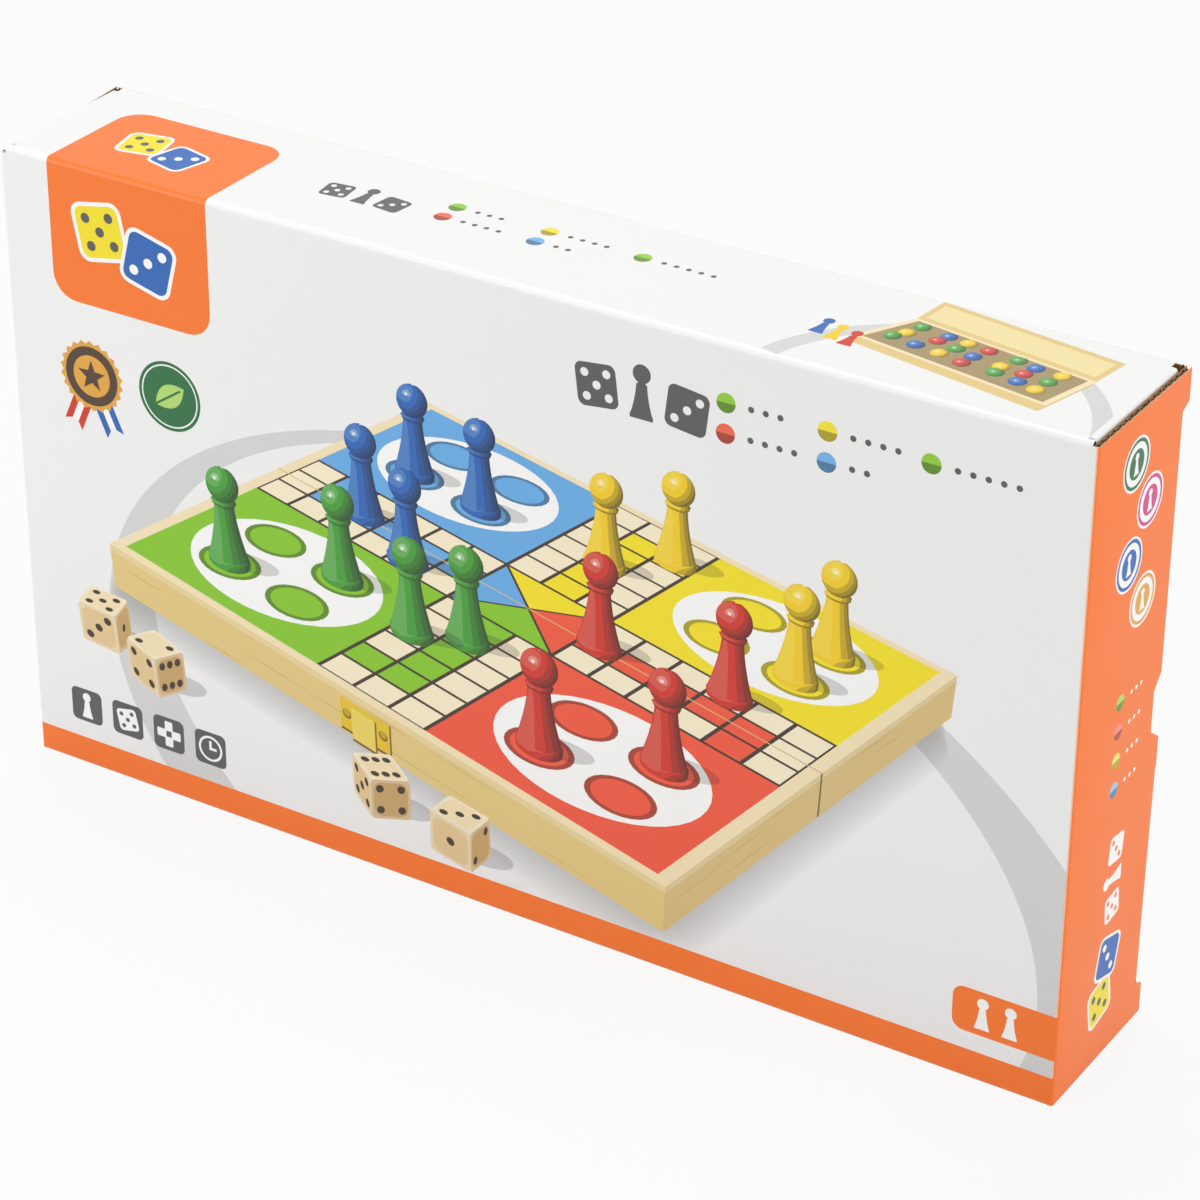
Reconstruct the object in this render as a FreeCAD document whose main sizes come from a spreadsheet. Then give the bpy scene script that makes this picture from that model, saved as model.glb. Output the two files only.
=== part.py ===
# Boxed ludo game: a corrugated tuck-end carton that stands on its long edge and holds a folding
# wooden game case with hinges, clasp, pawns and dice, and a rules leaflet.
# Millimetres. X runs along the carton, Y from its front to its back, Z up.
# The origin is the middle of the bottom.
import FreeCAD
import Part
import os
import re
import Sketcher
from FreeCAD import Rotation, Vector

SIZES = {
    # Corrugated board, its folds and the gaps between panels and flaps
    "board": 1.5,
    "fold_radius": 1.2,
    "crease_gap": 0.25,
    "flap_gap": 0.3,
    "edge_gap": 0.8,
    # Closure flap: shoulders, tuck tongue and finger notch
    "shoulder": 11,
    "tuck_gap": 0.5,
    "tongue_length": 13,
    "tongue_corner": 7,
    "thumb_height": 91.5,
    "thumb_length": 17,
    "thumb_depth": 3,
    "thumb_reach": 6,
    "thumb_slope": 3.5,
    "thumb_radius": 2,
    # Dust flaps and glue flap
    "dust_length": 42,
    "dust_side_gap": 0.5,
    "dust_front_taper": 21,
    "dust_back_taper": 4,
    "dust_corner": 3,
    "glue_width": 15,
    "glue_inset": 25,
    "glue_slant": 8,
    # Room around the wooden case in the carton
    "end_play": 6.7,
    "front_play": 2.5,
    "back_play": 4.5,
    "head_room": 19.25,
    "seat_gap": 0.15,
    # Rules leaflet
    "leaflet_length": 200,
    "leaflet_height": 145,
    "leaflet_thickness": 0.8,
    "leaflet_gap": 0.3,
    # Wooden case: rails and printed boards
    "case_length": 290,
    "case_height": 156,
    "rail_height": 16,
    "rail_thickness": 7,
    "panel_thickness": 3,
    "panel_round": 1,
    # Butt hinges
    "hinge_inset": 50,
    "leaf_width": 20,
    "leaf_reach": 6,
    "leaf_thickness": 0.8,
    "barrel_radius": 1.6,
    "hinge_pin_radius": 0.7,
    "hinge_gap": 0.25,
    "knuckle_gap": 0.2,
    "hinge_screw_spread": 6.5,
    # Wood screws of hinges and clasp
    "screw_radius": 0.9,
    "screw_length": 5,
    "screw_head_radius": 1.6,
    "screw_head_height": 0.7,
    "screw_gap": 0.05,
    # Clasp: plate, pin, hasp and catch
    "clasp_width": 24,
    "clasp_depth": 9,
    "clasp_thickness": 0.8,
    "clasp_set": 4,
    "clasp_barrel_radius": 1.3,
    "clasp_pin_radius": 0.6,
    "clasp_pin_gap": 0.05,
    "clasp_gap": 0.3,
    "clasp_knuckle": 4,
    "clasp_screw_spread": 9.2,
    "hasp_width": 12,
    "hasp_knuckle": 8,
    "hasp_reach": 12.5,
    "hasp_lip": 2,
    "slot_start": 6.2,
    "slot_length": 3.6,
    "slot_width": 5,
    "slot_gap": 0.6,
    "nub_rise": 1,
    "catch_gap": 0.5,
    # Pawns and dice
    "pawn_radius": 8,
    "pawn_height": 38,
    "pawn_foot": 3,
    "pawn_step": 1,
    "pawn_neck_radius": 3.2,
    "pawn_head_radius": 6.3,
    "die_size": 15,
    "pip_radius": 1.5,
    "pip_depth": 0.6,
    "stow_gap": 0.4,
    # How far a cutting shape runs past what it cuts
    "overrun": 2,
}

PAWN_COLOURS = ("red", "green", "blue", "yellow")
PAWNS_PER_COLOUR = 4
PAWN_COUNT = len(PAWN_COLOURS) * PAWNS_PER_COLOUR
DIE_COUNT = 4
# A die's corners are rounded by a ball of this share of its size
DIE_BALL_SHARE = 0.72
# Pips lie on a grid of this share of the die's size
PIP_SPREAD_SHARE = 0.25
PIP_PLACES = {
    1: ((0, 0),),
    2: ((-1, -1), (1, 1)),
    3: ((-1, -1), (0, 0), (1, 1)),
    4: ((-1, -1), (-1, 1), (1, -1), (1, 1)),
    5: ((-1, -1), (-1, 1), (0, 0), (1, -1), (1, 1)),
    6: ((-1, -1), (-1, 0), (-1, 1), (1, -1), (1, 0), (1, 1)),
}
# Each face of a die: its pips, and the axis and side that it looks along
PIP_FACES = ((1, 2, 1), (6, 2, -1), (2, 1, -1), (5, 1, 1), (3, 0, 1), (4, 0, -1))

# Worked-out sizes and places, as expressions of the sizes above
HALF = "(panel_thickness + rail_height)"
CASE_FOOT = "(barrel_radius + seat_gap)"
LENGTH = "(case_length + 2 * (end_play + flap_gap + 2 * board))"
DEPTH = f"(2 * {HALF} + front_play + back_play + 2 * board)"
HEIGHT = f"(case_height + {CASE_FOOT} + head_room + 2 * board)"
END = f"({LENGTH} / 2)"
FRONT = f"(-{DEPTH} / 2)"
BACK = f"({DEPTH} / 2)"
FRONT_INSIDE = f"({FRONT} + board)"
BACK_INSIDE = f"({BACK} - board)"
TOP_INSIDE = f"({HEIGHT} - board)"
CLOSURE_INSIDE = f"({END} - board)"
CLOSURE_AXIS_X = f"({END} - board / 2)"
CLOSURE_AXIS_Y = f"({FRONT} + board / 2)"
TUCK_FACE = f"({BACK_INSIDE} - tuck_gap)"
TUCK_RADIUS = f"({TUCK_FACE} - {CLOSURE_AXIS_Y})"
TONGUE_ANGLE = f"(tongue_length / {TUCK_RADIUS} * 180 / pi)"
DUST_OUTSIDE = f"({CLOSURE_INSIDE} - flap_gap)"
DUST_INSIDE = f"({DUST_OUTSIDE} - board)"
DUST_AXIS_X = f"({DUST_OUTSIDE} - board / 2)"
DUST_AXIS_Z = f"({HEIGHT} - board / 2)"
TUBE_END = f"({DUST_INSIDE} - crease_gap)"
CASE_END = "(case_length / 2)"
CASE_Y = f"({FRONT_INSIDE} + front_play + {HALF})"
CASE_FLOOR = f"(board + {CASE_FOOT})"
CASE_TOP = f"({CASE_FLOOR} + case_height)"
STORE_END = f"({CASE_END} - rail_thickness)"
STORE_FLOOR = f"({CASE_FLOOR} + rail_thickness)"
STORE_TOP = f"({CASE_TOP} - rail_thickness)"
HINGE_X = f"({CASE_END} - hinge_inset)"
LEAF_START = "(barrel_radius + hinge_gap)"
HASP_AXIS_Y = f"({CASE_Y} - clasp_set)"
HASP_AXIS_Z = f"({CASE_TOP} + clasp_barrel_radius + clasp_gap)"
KNUCKLE_START = "(hasp_knuckle / 2 + knuckle_gap)"
KNUCKLE_END = f"({KNUCKLE_START} + clasp_knuckle)"
PAWN_ROW = "(rail_height - pawn_radius - stow_gap)"
DICE_RUN = f"({DIE_COUNT} * (die_size + stow_gap))"
PAWN_RUN = f"(2 * {STORE_END} - {DICE_RUN} - 2 * pawn_radius - 2 * stow_gap)"

doc = FreeCAD.newDocument("boxed_ludo_game")
sheet = doc.addObject("Spreadsheet::Sheet", "Sizes")
for row, (alias, size) in enumerate(SIZES.items(), start=1):
    sheet.set(f"A{row}", alias)
    sheet.set(f"B{row}", str(size))
    sheet.setAlias(f"B{row}", alias)
doc.recompute()

nodes = {}


def sized(text):
    """Turn the size names in an expression into references to the sheet."""
    return re.sub(r"[a-z_]+", lambda word: f"Sizes.{word[0]}" if word[0] in SIZES else word[0], text)


def value(text):
    """Value of an expression, in millimetres."""
    return float(sheet.evalExpression(sized(text)))


def bind(item, name, text):
    """Tie a property to an expression of the sizes."""
    item.setExpression(name, sized(text))


def place(item, x="0", y="0", z="0"):
    """Tie an object's place to expressions of the sizes."""
    for axis, text in zip("xyz", (x, y, z)):
        bind(item, f"Placement.Base.{axis}", text)


def node(name, item):
    """Keep a finished object as the sub-part of that name."""
    item.Label = name
    nodes[name] = item
    return item


def box(name, x, y, z):
    """Box between a low and a high bound on each axis."""
    item = doc.addObject("Part::Box", name)
    for side, (low, high) in zip(("Length", "Width", "Height"), (x, y, z)):
        bind(item, side, f"{high} - ({low})")
    place(item, x[0], y[0], z[0])
    return item


def rod(name, axis, radius, start, length):
    """Cylinder from a start point along one axis of the frame."""
    turns = {"x": Rotation(Vector(0, 1, 0), 90), "y": Rotation(Vector(1, 0, 0), -90), "z": Rotation()}
    item = doc.addObject("Part::Cylinder", name)
    item.Placement.Rotation = turns[axis]
    bind(item, "Radius", radius)
    bind(item, "Height", length)
    place(item, *start)
    return item


def ball(name, radius, centre):
    """Sphere about a point."""
    item = doc.addObject("Part::Sphere", name)
    bind(item, "Radius", radius)
    place(item, *centre)
    return item


def joined(name, items):
    """One solid from several that overlap or share a face."""
    item = doc.addObject("Part::MultiFuse", name)
    item.Shapes = items
    item.Refine = True
    return item


def group(name, items):
    """Several separate solids as one object."""
    item = doc.addObject("Part::Compound", name)
    item.Links = items
    return item


def cut(name, base, tools):
    """A solid less what its tools take away."""
    item = doc.addObject("Part::Cut", name)
    item.Base = base
    item.Tool = tools[0] if len(tools) == 1 else group(f"{name}_tools", tools)
    return item


def mirrored(name, source):
    """The same piece at the other end of the carton."""
    item = doc.addObject("Part::Mirroring", name)
    item.Source = source
    item.Normal = Vector(1, 0, 0)
    return item


def sketch(body, name, plane, outlines):
    """Sketch of closed outlines with straight sides, each corner tied to the sizes."""
    item = body.newObject("Sketcher::SketchObject", name)
    face = next(feature for feature in body.Origin.OriginFeatures if feature.Role == plane)
    item.AttachmentSupport = (face, [""])
    item.MapMode = "FlatFace"
    first = 0
    for corners in outlines:
        points = [Vector(value(u), value(v), 0) for u, v in corners]
        count = len(points)
        for number in range(count):
            item.addGeometry(Part.LineSegment(points[number], points[(number + 1) % count]), False)
        for number in range(count):
            follower = first + (number + 1) % count
            item.addConstraint(Sketcher.Constraint("Coincident", first + number, 2, follower, 1))
        for number, corner in enumerate(corners):
            for kind, text in zip(("DistanceX", "DistanceY"), corner):
                tie = Sketcher.Constraint(kind, -1, 1, first + number, 1, value(text))
                bind(item, f"Constraints[{item.addConstraint(tie)}]", text)
        first += count
    return item


def plate(name, plane, outline, thickness, offset="0", turned=False):
    """Body padded from one outline; its plane lies at an offset along the plane's own normal axis."""
    body = doc.addObject("PartDesign::Body", name)
    profile = sketch(body, f"{name}_outline", plane, [outline])
    pad = body.newObject("PartDesign::Pad", f"{name}_pad")
    pad.Profile = profile
    pad.Reversed = turned
    bind(pad, "Length", thickness)
    axis = {"XY_Plane": "z", "XZ_Plane": "y", "YZ_Plane": "x"}[plane]
    bind(body, f"Placement.Base.{axis}", offset)
    doc.recompute()
    return body


def pocket(body, name, plane, outlines, depth, turned=False):
    """Cut outlines on one of the body's own planes into it; the volume must fall."""
    before = body.Shape.Volume
    profile = sketch(body, f"{name}_outline", plane, outlines)
    item = body.newObject("PartDesign::Pocket", name)
    item.Profile = profile
    item.Reversed = turned
    bind(item, "Length", depth)
    doc.recompute()
    assert body.Shape.Volume < before, name


def rounded(body, name, radius, test):
    """Fillet the body's edges whose middle point and direction pass a test."""
    chosen = []
    for number, edge in enumerate(body.Shape.Edges, start=1):
        middle = edge.valueAt((edge.FirstParameter + edge.LastParameter) / 2)
        middle = body.Placement.inverse().multVec(middle)
        along = edge.lastVertex().Point - edge.firstVertex().Point
        if along.Length and test(middle, along.normalize()):
            chosen.append(f"Edge{number}")
    base = body.Tip
    item = body.newObject("PartDesign::Fillet", name)
    item.Base = (base, chosen)
    bind(item, "Radius", radius)
    doc.recompute()


def near(first, second):
    """Whether two lengths are the same."""
    return abs(first - value(second)) < value("crease_gap / 10")


def rectangle(u, v):
    """Corners of a rectangle between two pairs of bounds."""
    return ((u[0], v[0]), (u[1], v[0]), (u[1], v[1]), (u[0], v[1]))


def about(middle, width):
    """Low and high bound of a width about its middle."""
    return (f"({middle} - {width} / 2)", f"({middle} + {width} / 2)")


def upright_panel(name, face, inside, end, outward):
    """Front or back panel of the carton, with its two long outer folds rounded."""
    outline = rectangle((f"-{end}", end), ("0", HEIGHT))
    low = min(face, inside, key=value)
    panel = plate(name, "XZ_Plane", outline, "board", low, turned=True)
    outer = "0" if outward < 0 else "board"
    rounded(panel, f"{name}_fold", "fold_radius",
            lambda middle, along: abs(along.x) > 0.5 and near(middle.y, outer))
    return panel


def carton_tube():
    """The four panels that are folded from one blank, and the flap that glues them into a tube."""
    node("front_panel", upright_panel("front_panel", FRONT, FRONT_INSIDE,
                                      f"({CLOSURE_INSIDE} - crease_gap)", -1))
    back = upright_panel("back_panel_blank", BACK, BACK_INSIDE, DUST_OUTSIDE, 1)
    notches = [finger_notch(f"{side}_back_notch", sign, DUST_OUTSIDE) for side, sign in
               (("right", ""), ("left", "-"))]
    node("back_panel", cut("back_panel", back, notches))
    for name, low, high in (("bottom_panel", "0", "board"), ("top_panel", TOP_INSIDE, HEIGHT)):
        node(name, box(name, (f"-{TUBE_END}", TUBE_END), (FRONT_INSIDE, BACK_INSIDE), (low, high)))
    reach = f"({END} - glue_inset)"
    slope = f"({reach} - glue_slant)"
    outline = ((f"-{reach}", "board"), (reach, "board"),
               (slope, "board + glue_width"), (f"-{slope}", "board + glue_width"))
    node("glue_flap", plate("glue_flap", "XZ_Plane", outline, "board",
                            f"{BACK_INSIDE} - board", turned=True))


def finger_notch(name, sign, edge):
    """Rounded cut through the edge of the back panel, where a finger lifts the tongue."""
    start = f"{edge} - thumb_reach"
    bounds = (start, f"{edge} + overrun")
    if sign:
        bounds = (f"-({bounds[1]})", f"-({bounds[0]})")
    outline = rectangle(bounds, about("thumb_height", "thumb_length"))
    body = plate(name, "XZ_Plane", outline, "board + 2 * overrun",
                 f"{BACK_INSIDE} - overrun", turned=True)
    inner = f"{sign}({start})"
    rounded(body, f"{name}_round", "thumb_radius",
            lambda middle, along: abs(along.y) > 0.5 and near(middle.x, inner))
    return body


def closure():
    """End flap that hinges on the front panel, with a round hinge edge, shoulders and finger notch."""
    height = ("edge_gap", f"{HEIGHT} - edge_gap")
    crease = f"({TUCK_FACE} - board - crease_gap)"
    notch = f"({crease} - thumb_depth)"
    low, high = about("thumb_height", "thumb_length")
    outline = (
        (CLOSURE_AXIS_Y, height[0]),
        (BACK, height[0]),
        (BACK, "shoulder"),
        (crease, "shoulder"),
        (crease, low),
        (notch, low),
        (notch, f"{high} - thumb_slope"),
        (crease, high),
        (crease, f"{HEIGHT} - shoulder"),
        (BACK, f"{HEIGHT} - shoulder"),
        (BACK, height[1]),
        (CLOSURE_AXIS_Y, height[1]),
    )
    flap = plate("closure_plate", "YZ_Plane", outline, "board", CLOSURE_INSIDE)
    bead = rod("closure_bead", "z", "board / 2", (CLOSURE_AXIS_X, CLOSURE_AXIS_Y, height[0]),
               f"{HEIGHT} - 2 * edge_gap")
    return joined("closure", [flap, bead])


def tongue():
    """Tuck tongue, curved about the closure's hinge so that it slides in along the back panel."""
    body = doc.addObject("PartDesign::Body", "tongue_sheet")
    place(body, CLOSURE_AXIS_X, CLOSURE_AXIS_Y)
    span = ("shoulder + crease_gap", f"{HEIGHT} - shoulder - crease_gap")
    inner = f"({TUCK_RADIUS} - board)"
    section = sketch(body, "tongue_section", "YZ_Plane", [rectangle((inner, TUCK_RADIUS), span)])
    bend = body.newObject("PartDesign::Revolution", "tongue_bend")
    bend.Profile = section
    bend.ReferenceAxis = (section, ["V_Axis"])
    bind(bend, "Angle", TONGUE_ANGLE)
    doc.recompute()
    lip = body.newObject("PartDesign::Pad", "tongue_lip")
    lip.Profile = sketch(body, "tongue_lip_section", "YZ_Plane", [rectangle((inner, TUCK_RADIUS), span)])
    bind(lip, "Length", "board / 2")
    doc.recompute()
    low, high = about("thumb_height", "thumb_length")
    pocket(body, "tongue_notch", "XZ_Plane", [rectangle(("-thumb_reach", "board"), (low, high))],
           f"{TUCK_RADIUS} + overrun")
    tip = value("0.5 * tongue_length")
    ends = [value(text) for text in span]
    rounded(body, "tongue_corners", "tongue_corner",
            lambda middle, along: middle.x < -tip and abs(along.z) < 0.5
            and min(abs(middle.z - end) for end in ends) < value("crease_gap")
            and abs(along.y) > 0.5)
    return body


def dust_flap(name, low_edge):
    """Dust flap at the right end, with a round hinge edge on the top or the bottom panel."""
    axis = "board / 2" if low_edge else DUST_AXIS_Z
    tip = "board / 2 + dust_length" if low_edge else f"({DUST_AXIS_Z} - dust_length)"
    front = f"({FRONT_INSIDE} + dust_side_gap)"
    back = f"({TUCK_FACE} - board - dust_side_gap)"
    outline = ((front, axis), (back, axis), (f"{back} - dust_back_taper", tip),
               (f"{front} + dust_front_taper", tip))
    flap = plate(f"{name}_plate", "YZ_Plane", outline, "board", DUST_INSIDE)
    tip_height = value(tip)
    rounded(flap, f"{name}_corners", "dust_corner",
            lambda middle, along: abs(along.x) > 0.5 and abs(middle.z - tip_height) < value("crease_gap"))
    bead = rod(f"{name}_bead", "y", "board / 2", (DUST_AXIS_X, front, axis), f"{back} - ({front})")
    return joined(name, [flap, bead])


def carton_ends():
    """Closures, tongues and dust flaps: modelled at the right end and mirrored to the left."""
    right = {
        "closure": closure(),
        "tongue": tongue(),
        "upper_dust_flap": dust_flap("upper_dust_flap", False),
        "lower_dust_flap": dust_flap("lower_dust_flap", True),
    }
    for name, item in right.items():
        node(f"right_{name}", item)
        node(f"left_{name}", mirrored(f"left_{name}", item))


def leaflet():
    """Folded rules leaflet that stands between the front panel and the case."""
    low = f"({FRONT_INSIDE} + leaflet_gap)"
    node("rules_leaflet", box("rules_leaflet", about("0", "leaflet_length"),
                              (low, f"{low} + leaflet_thickness"), ("board", "board + leaflet_height")))


def screw(name, axis, seat, sign, gap="0"):
    """Wood screw, or its hole with a gap all round: a cone head under its face and a straight shank."""
    turns = {"y": (Vector(1, 0, 0), -90 * sign), "z": (Vector(1, 0, 0), 90 - 90 * sign)}
    head = doc.addObject("Part::Cone", f"{name}_head")
    head.Placement.Rotation = Rotation(*turns[axis])
    bind(head, "Radius1", f"screw_head_radius + {gap}")
    bind(head, "Radius2", f"screw_radius + {gap}")
    bind(head, "Height", "screw_head_height")
    place(head, *seat)
    shank = doc.addObject("Part::Cylinder", f"{name}_shank")
    shank.Placement.Rotation = Rotation(*turns[axis])
    bind(shank, "Radius", f"screw_radius + {gap}")
    bind(shank, "Height", f"screw_length + {gap}")
    place(shank, *seat)
    return joined(name, [head, shank])


def hinge_screws(prefix, gap="0"):
    """The wood screws that hold the leaves, by half of the case."""
    height = f"{CASE_FLOOR} + ({LEAF_START} + leaf_reach) / 2"
    result = {"base": [], "lid": []}
    for half, sign in (("base", 1), ("lid", -1)):
        for side in ("-", ""):
            for spread in ("-", "+"):
                seat = (f"{side}{HINGE_X} {spread} hinge_screw_spread", CASE_Y, height)
                name = f"{prefix}_{half}_screw_{len(result[half]) + 1}"
                result[half].append(screw(name, "y", seat, sign, gap))
    return result


def clasp_screws(prefix, gap="0"):
    """The wood screws that hold the clasp's plate and catch, by half of the case."""
    seat_height = f"{CASE_TOP} + clasp_thickness"
    middles = {"lid": f"{HASP_AXIS_Y} - clasp_depth / 2", "base": f"{CASE_Y} + catch_gap + clasp_depth / 2"}
    result = {}
    for half, y in middles.items():
        result[half] = []
        for side in ("-", ""):
            seat = (f"{side}clasp_screw_spread", y, seat_height)
            name = f"{prefix}_{half}_screw_{len(result[half]) + 1}"
            result[half].append(screw(name, "z", seat, -1, gap))
    return result


def rails(half, turned, holes, clasp_holes):
    """Four mitred rails of one half of the case, with mortises for the hinges and screw holes."""
    outer = rectangle((f"-{CASE_END}", CASE_END), (CASE_FLOOR, CASE_TOP))
    inner = rectangle((f"-{STORE_END}", STORE_END), (STORE_FLOOR, STORE_TOP))
    for number, side in enumerate(("hinge", "right", "clasp", "left")):
        other = (number + 1) % len(outer)
        outline = (outer[number], outer[other], inner[other], inner[number])
        name = f"{half}_{side}_rail"
        rail = plate(f"{name}_wood", "XZ_Plane", outline, "rail_height", CASE_Y, turned)
        if side == "hinge":
            bores = [about(f"{sign}{HINGE_X}", "(leaf_width + 2 * hinge_gap)") for sign in ("-", "")]
            leaf_seat = (CASE_FLOOR, f"{CASE_FLOOR} + leaf_reach + hinge_gap")
            pocket(rail, f"{name}_mortise", "XZ_Plane", [rectangle(bore, leaf_seat) for bore in bores],
                   "leaf_thickness", not turned)
            barrel_seat = (CASE_FLOOR, f"{CASE_FLOOR} + {LEAF_START}")
            pocket(rail, f"{name}_barrel_seat", "XZ_Plane", [rectangle(bore, barrel_seat) for bore in bores],
                   LEAF_START, not turned)
            rail = cut(name, rail, holes)
        elif side == "clasp":
            rail = cut(name, rail, clasp_holes)
        node(name, rail)


def game_board(half, turned):
    """Printed board that covers one half of the case, with its outer edges rounded."""
    outline = rectangle((f"-{CASE_END}", CASE_END), (CASE_FLOOR, CASE_TOP))
    side = "+" if turned else "-"
    board = plate(f"{half}_board", "XZ_Plane", outline, "panel_thickness",
                  f"{CASE_Y} {side} rail_height", turned)
    outer = "panel_thickness" if turned else "-panel_thickness"
    rounded(board, f"{half}_board_round", "panel_round", lambda middle, along: near(middle.y, outer))
    node(f"{half}_board", board)


def hinge(side, sign, holes):
    """Butt hinge between the two hinge rails: two leaves with three knuckles, and a pin."""
    middle = f"({sign}{HINGE_X})"
    low = f"({middle} - leaf_width / 2)"
    third = "(leaf_width / 3)"
    bounds = [about(f"({low} + {number} * {third} + {third} / 2)", f"({third} - knuckle_gap)")
              for number in range(3)]
    for half, face, knuckles in (("base", (CASE_Y, f"{CASE_Y} + leaf_thickness"), (0, 2)),
                                 ("lid", (f"{CASE_Y} - leaf_thickness", CASE_Y), (1,))):
        name = f"{side}_hinge_{half}_leaf"
        pieces = [box(f"{name}_plate", about(middle, "leaf_width"), face,
                      (f"{CASE_FLOOR} + {LEAF_START}", f"{CASE_FLOOR} + leaf_reach"))]
        for number in knuckles:
            run = bounds[number]
            pieces.append(rod(f"{name}_knuckle_{number}", "x", "barrel_radius",
                              (run[0], CASE_Y, CASE_FLOOR), f"{run[1]} - ({run[0]})"))
            pieces.append(box(f"{name}_web_{number}", run, face,
                              (CASE_FLOOR, f"{CASE_FLOOR} + {LEAF_START}")))
        bore = rod(f"{name}_bore", "x", "hinge_pin_radius", (f"{low} - overrun", CASE_Y, CASE_FLOOR),
                   "leaf_width + 2 * overrun")
        node(name, cut(name, joined(f"{name}_blank", pieces), [bore] + holes[half]))
    node(f"{side}_hinge_pin", rod(f"{side}_hinge_pin", "x", "hinge_pin_radius",
                                  (low, CASE_Y, CASE_FLOOR), "leaf_width"))


def clasp(holes):
    """Clasp across the two clasp rails: a plate with a pin, the hasp that swings on it, and a catch."""
    axis = (HASP_AXIS_Y, HASP_AXIS_Z)
    sheet_rise = (CASE_TOP, f"{CASE_TOP} + clasp_thickness")
    width = about("0", "clasp_width")
    pieces = [box("clasp_plate_sheet", width, (f"{HASP_AXIS_Y} - clasp_depth", HASP_AXIS_Y), sheet_rise)]
    for side, start in (("left", f"-{KNUCKLE_END}"), ("right", KNUCKLE_START)):
        pieces.append(rod(f"clasp_{side}_knuckle", "x", "clasp_barrel_radius", (start, *axis),
                          "clasp_knuckle"))
    room = rod("clasp_knuckle_room", "x", "clasp_barrel_radius + clasp_gap", (f"-{KNUCKLE_START}", *axis),
               f"2 * {KNUCKLE_START}")
    bore_radius = "clasp_pin_radius + clasp_pin_gap"
    bores = [rod(f"clasp_{name}_bore", "x", bore_radius, (f"-{KNUCKLE_END} - overrun", *axis),
                 f"2 * ({KNUCKLE_END} + overrun)") for name in ("plate", "hasp")]
    node("clasp_plate", cut("clasp_plate", joined("clasp_plate_blank", pieces),
                            [room, bores[0]] + holes["lid"]))
    node("clasp_pin", rod("clasp_pin", "x", "clasp_pin_radius", (f"-{KNUCKLE_END}", *axis),
                          f"2 * {KNUCKLE_END}"))

    tip = f"({HASP_AXIS_Y} + hasp_reach)"
    rise = (f"{HASP_AXIS_Z} - clasp_thickness / 2", f"{HASP_AXIS_Z} + clasp_thickness / 2")
    tab_start = f"({HASP_AXIS_Y} + clasp_barrel_radius + clasp_gap)"
    slot = (f"({HASP_AXIS_Y} + slot_start)", f"({HASP_AXIS_Y} + slot_start + slot_length)")
    hasp = joined("clasp_hasp_blank", [
        rod("hasp_barrel", "x", "clasp_barrel_radius", ("-hasp_knuckle / 2", *axis), "hasp_knuckle"),
        box("hasp_web", about("0", "hasp_knuckle"), (HASP_AXIS_Y, tab_start), rise),
        box("hasp_tab", about("0", "hasp_width"), (tab_start, tip), rise),
        box("hasp_lip", about("0", "hasp_width"), (f"{tip} - clasp_thickness", tip),
            (rise[0], f"{rise[1]} + hasp_lip")),
    ])
    opening = box("hasp_slot", about("0", "slot_width"), slot,
                  (f"{rise[0]} - overrun", f"{rise[1]} + overrun"))
    node("clasp_hasp", cut("clasp_hasp", hasp, [opening, bores[1]]))

    catch = joined("clasp_catch_blank", [
        box("catch_sheet", width,
            (f"{CASE_Y} + catch_gap", f"{CASE_Y} + catch_gap + clasp_depth"), sheet_rise),
        box("catch_nub", about("0", "(slot_width - 2 * slot_gap)"),
            (f"{slot[0]} + slot_gap", f"{slot[1]} - slot_gap"), (sheet_rise[0], f"{rise[1]} + nub_rise")),
    ])
    node("clasp_catch", cut("clasp_catch", catch, holes["base"]))


def wooden_case():
    """Folding case: two halves of rails and a printed board, with hinges below and a clasp on top."""
    hinge_holes = hinge_screws("hole", "screw_gap")
    clasp_holes = clasp_screws("clasp_hole", "screw_gap")
    for half, turned in (("base", True), ("lid", False)):
        rails(half, turned, hinge_holes[half], clasp_holes[half])
        game_board(half, turned)
    for side, sign in (("left", "-"), ("right", "")):
        hinge(side, sign, hinge_holes)
    screws = hinge_screws("hinge")
    node("hinge_screws", group("hinge_screws", screws["base"] + screws["lid"]))
    clasp(clasp_holes)
    screws = clasp_screws("clasp")
    node("clasp_screws", group("clasp_screws", screws["base"] + screws["lid"]))


def pawn(name, x, y):
    """Turned wooden pawn: a foot, a cone and a ball."""
    foot = rod(f"{name}_foot", "z", "pawn_radius", (x, y, STORE_FLOOR), "pawn_foot")
    cone = doc.addObject("Part::Cone", f"{name}_cone")
    bind(cone, "Radius1", "pawn_radius - pawn_step")
    bind(cone, "Radius2", "pawn_neck_radius")
    bind(cone, "Height", "pawn_height - pawn_foot - pawn_head_radius")
    place(cone, x, y, f"{STORE_FLOOR} + pawn_foot")
    head = ball(f"{name}_head", "pawn_head_radius", (x, y, f"{STORE_FLOOR} + pawn_height - pawn_head_radius"))
    node(name, joined(name, [foot, cone, head]))


def die(name, x):
    """Wooden die with rounded corners and drilled pips."""
    centre = (f"({x} + die_size / 2)", CASE_Y, f"({STORE_FLOOR} + die_size / 2)")
    cube = box(f"{name}_cube", *[about(middle, "die_size") for middle in centre])
    body = doc.addObject("Part::Common", f"{name}_body")
    body.Base = cube
    body.Tool = ball(f"{name}_ball", f"die_size * {DIE_BALL_SHARE}", centre)
    pips = []
    for count, axis, side in PIP_FACES:
        for first, second in PIP_PLACES[count]:
            steps = [first, second]
            steps.insert(axis, 0)
            spot = [f"{middle} + {step} * {PIP_SPREAD_SHARE} * die_size"
                    for middle, step in zip(centre, steps)]
            spot[axis] = f"{centre[axis]} + {side} * (die_size / 2 + pip_radius - pip_depth)"
            pips.append(ball(f"{name}_pip_{len(pips) + 1}", "pip_radius", spot))
    node(name, cut(name, body, pips))


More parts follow.
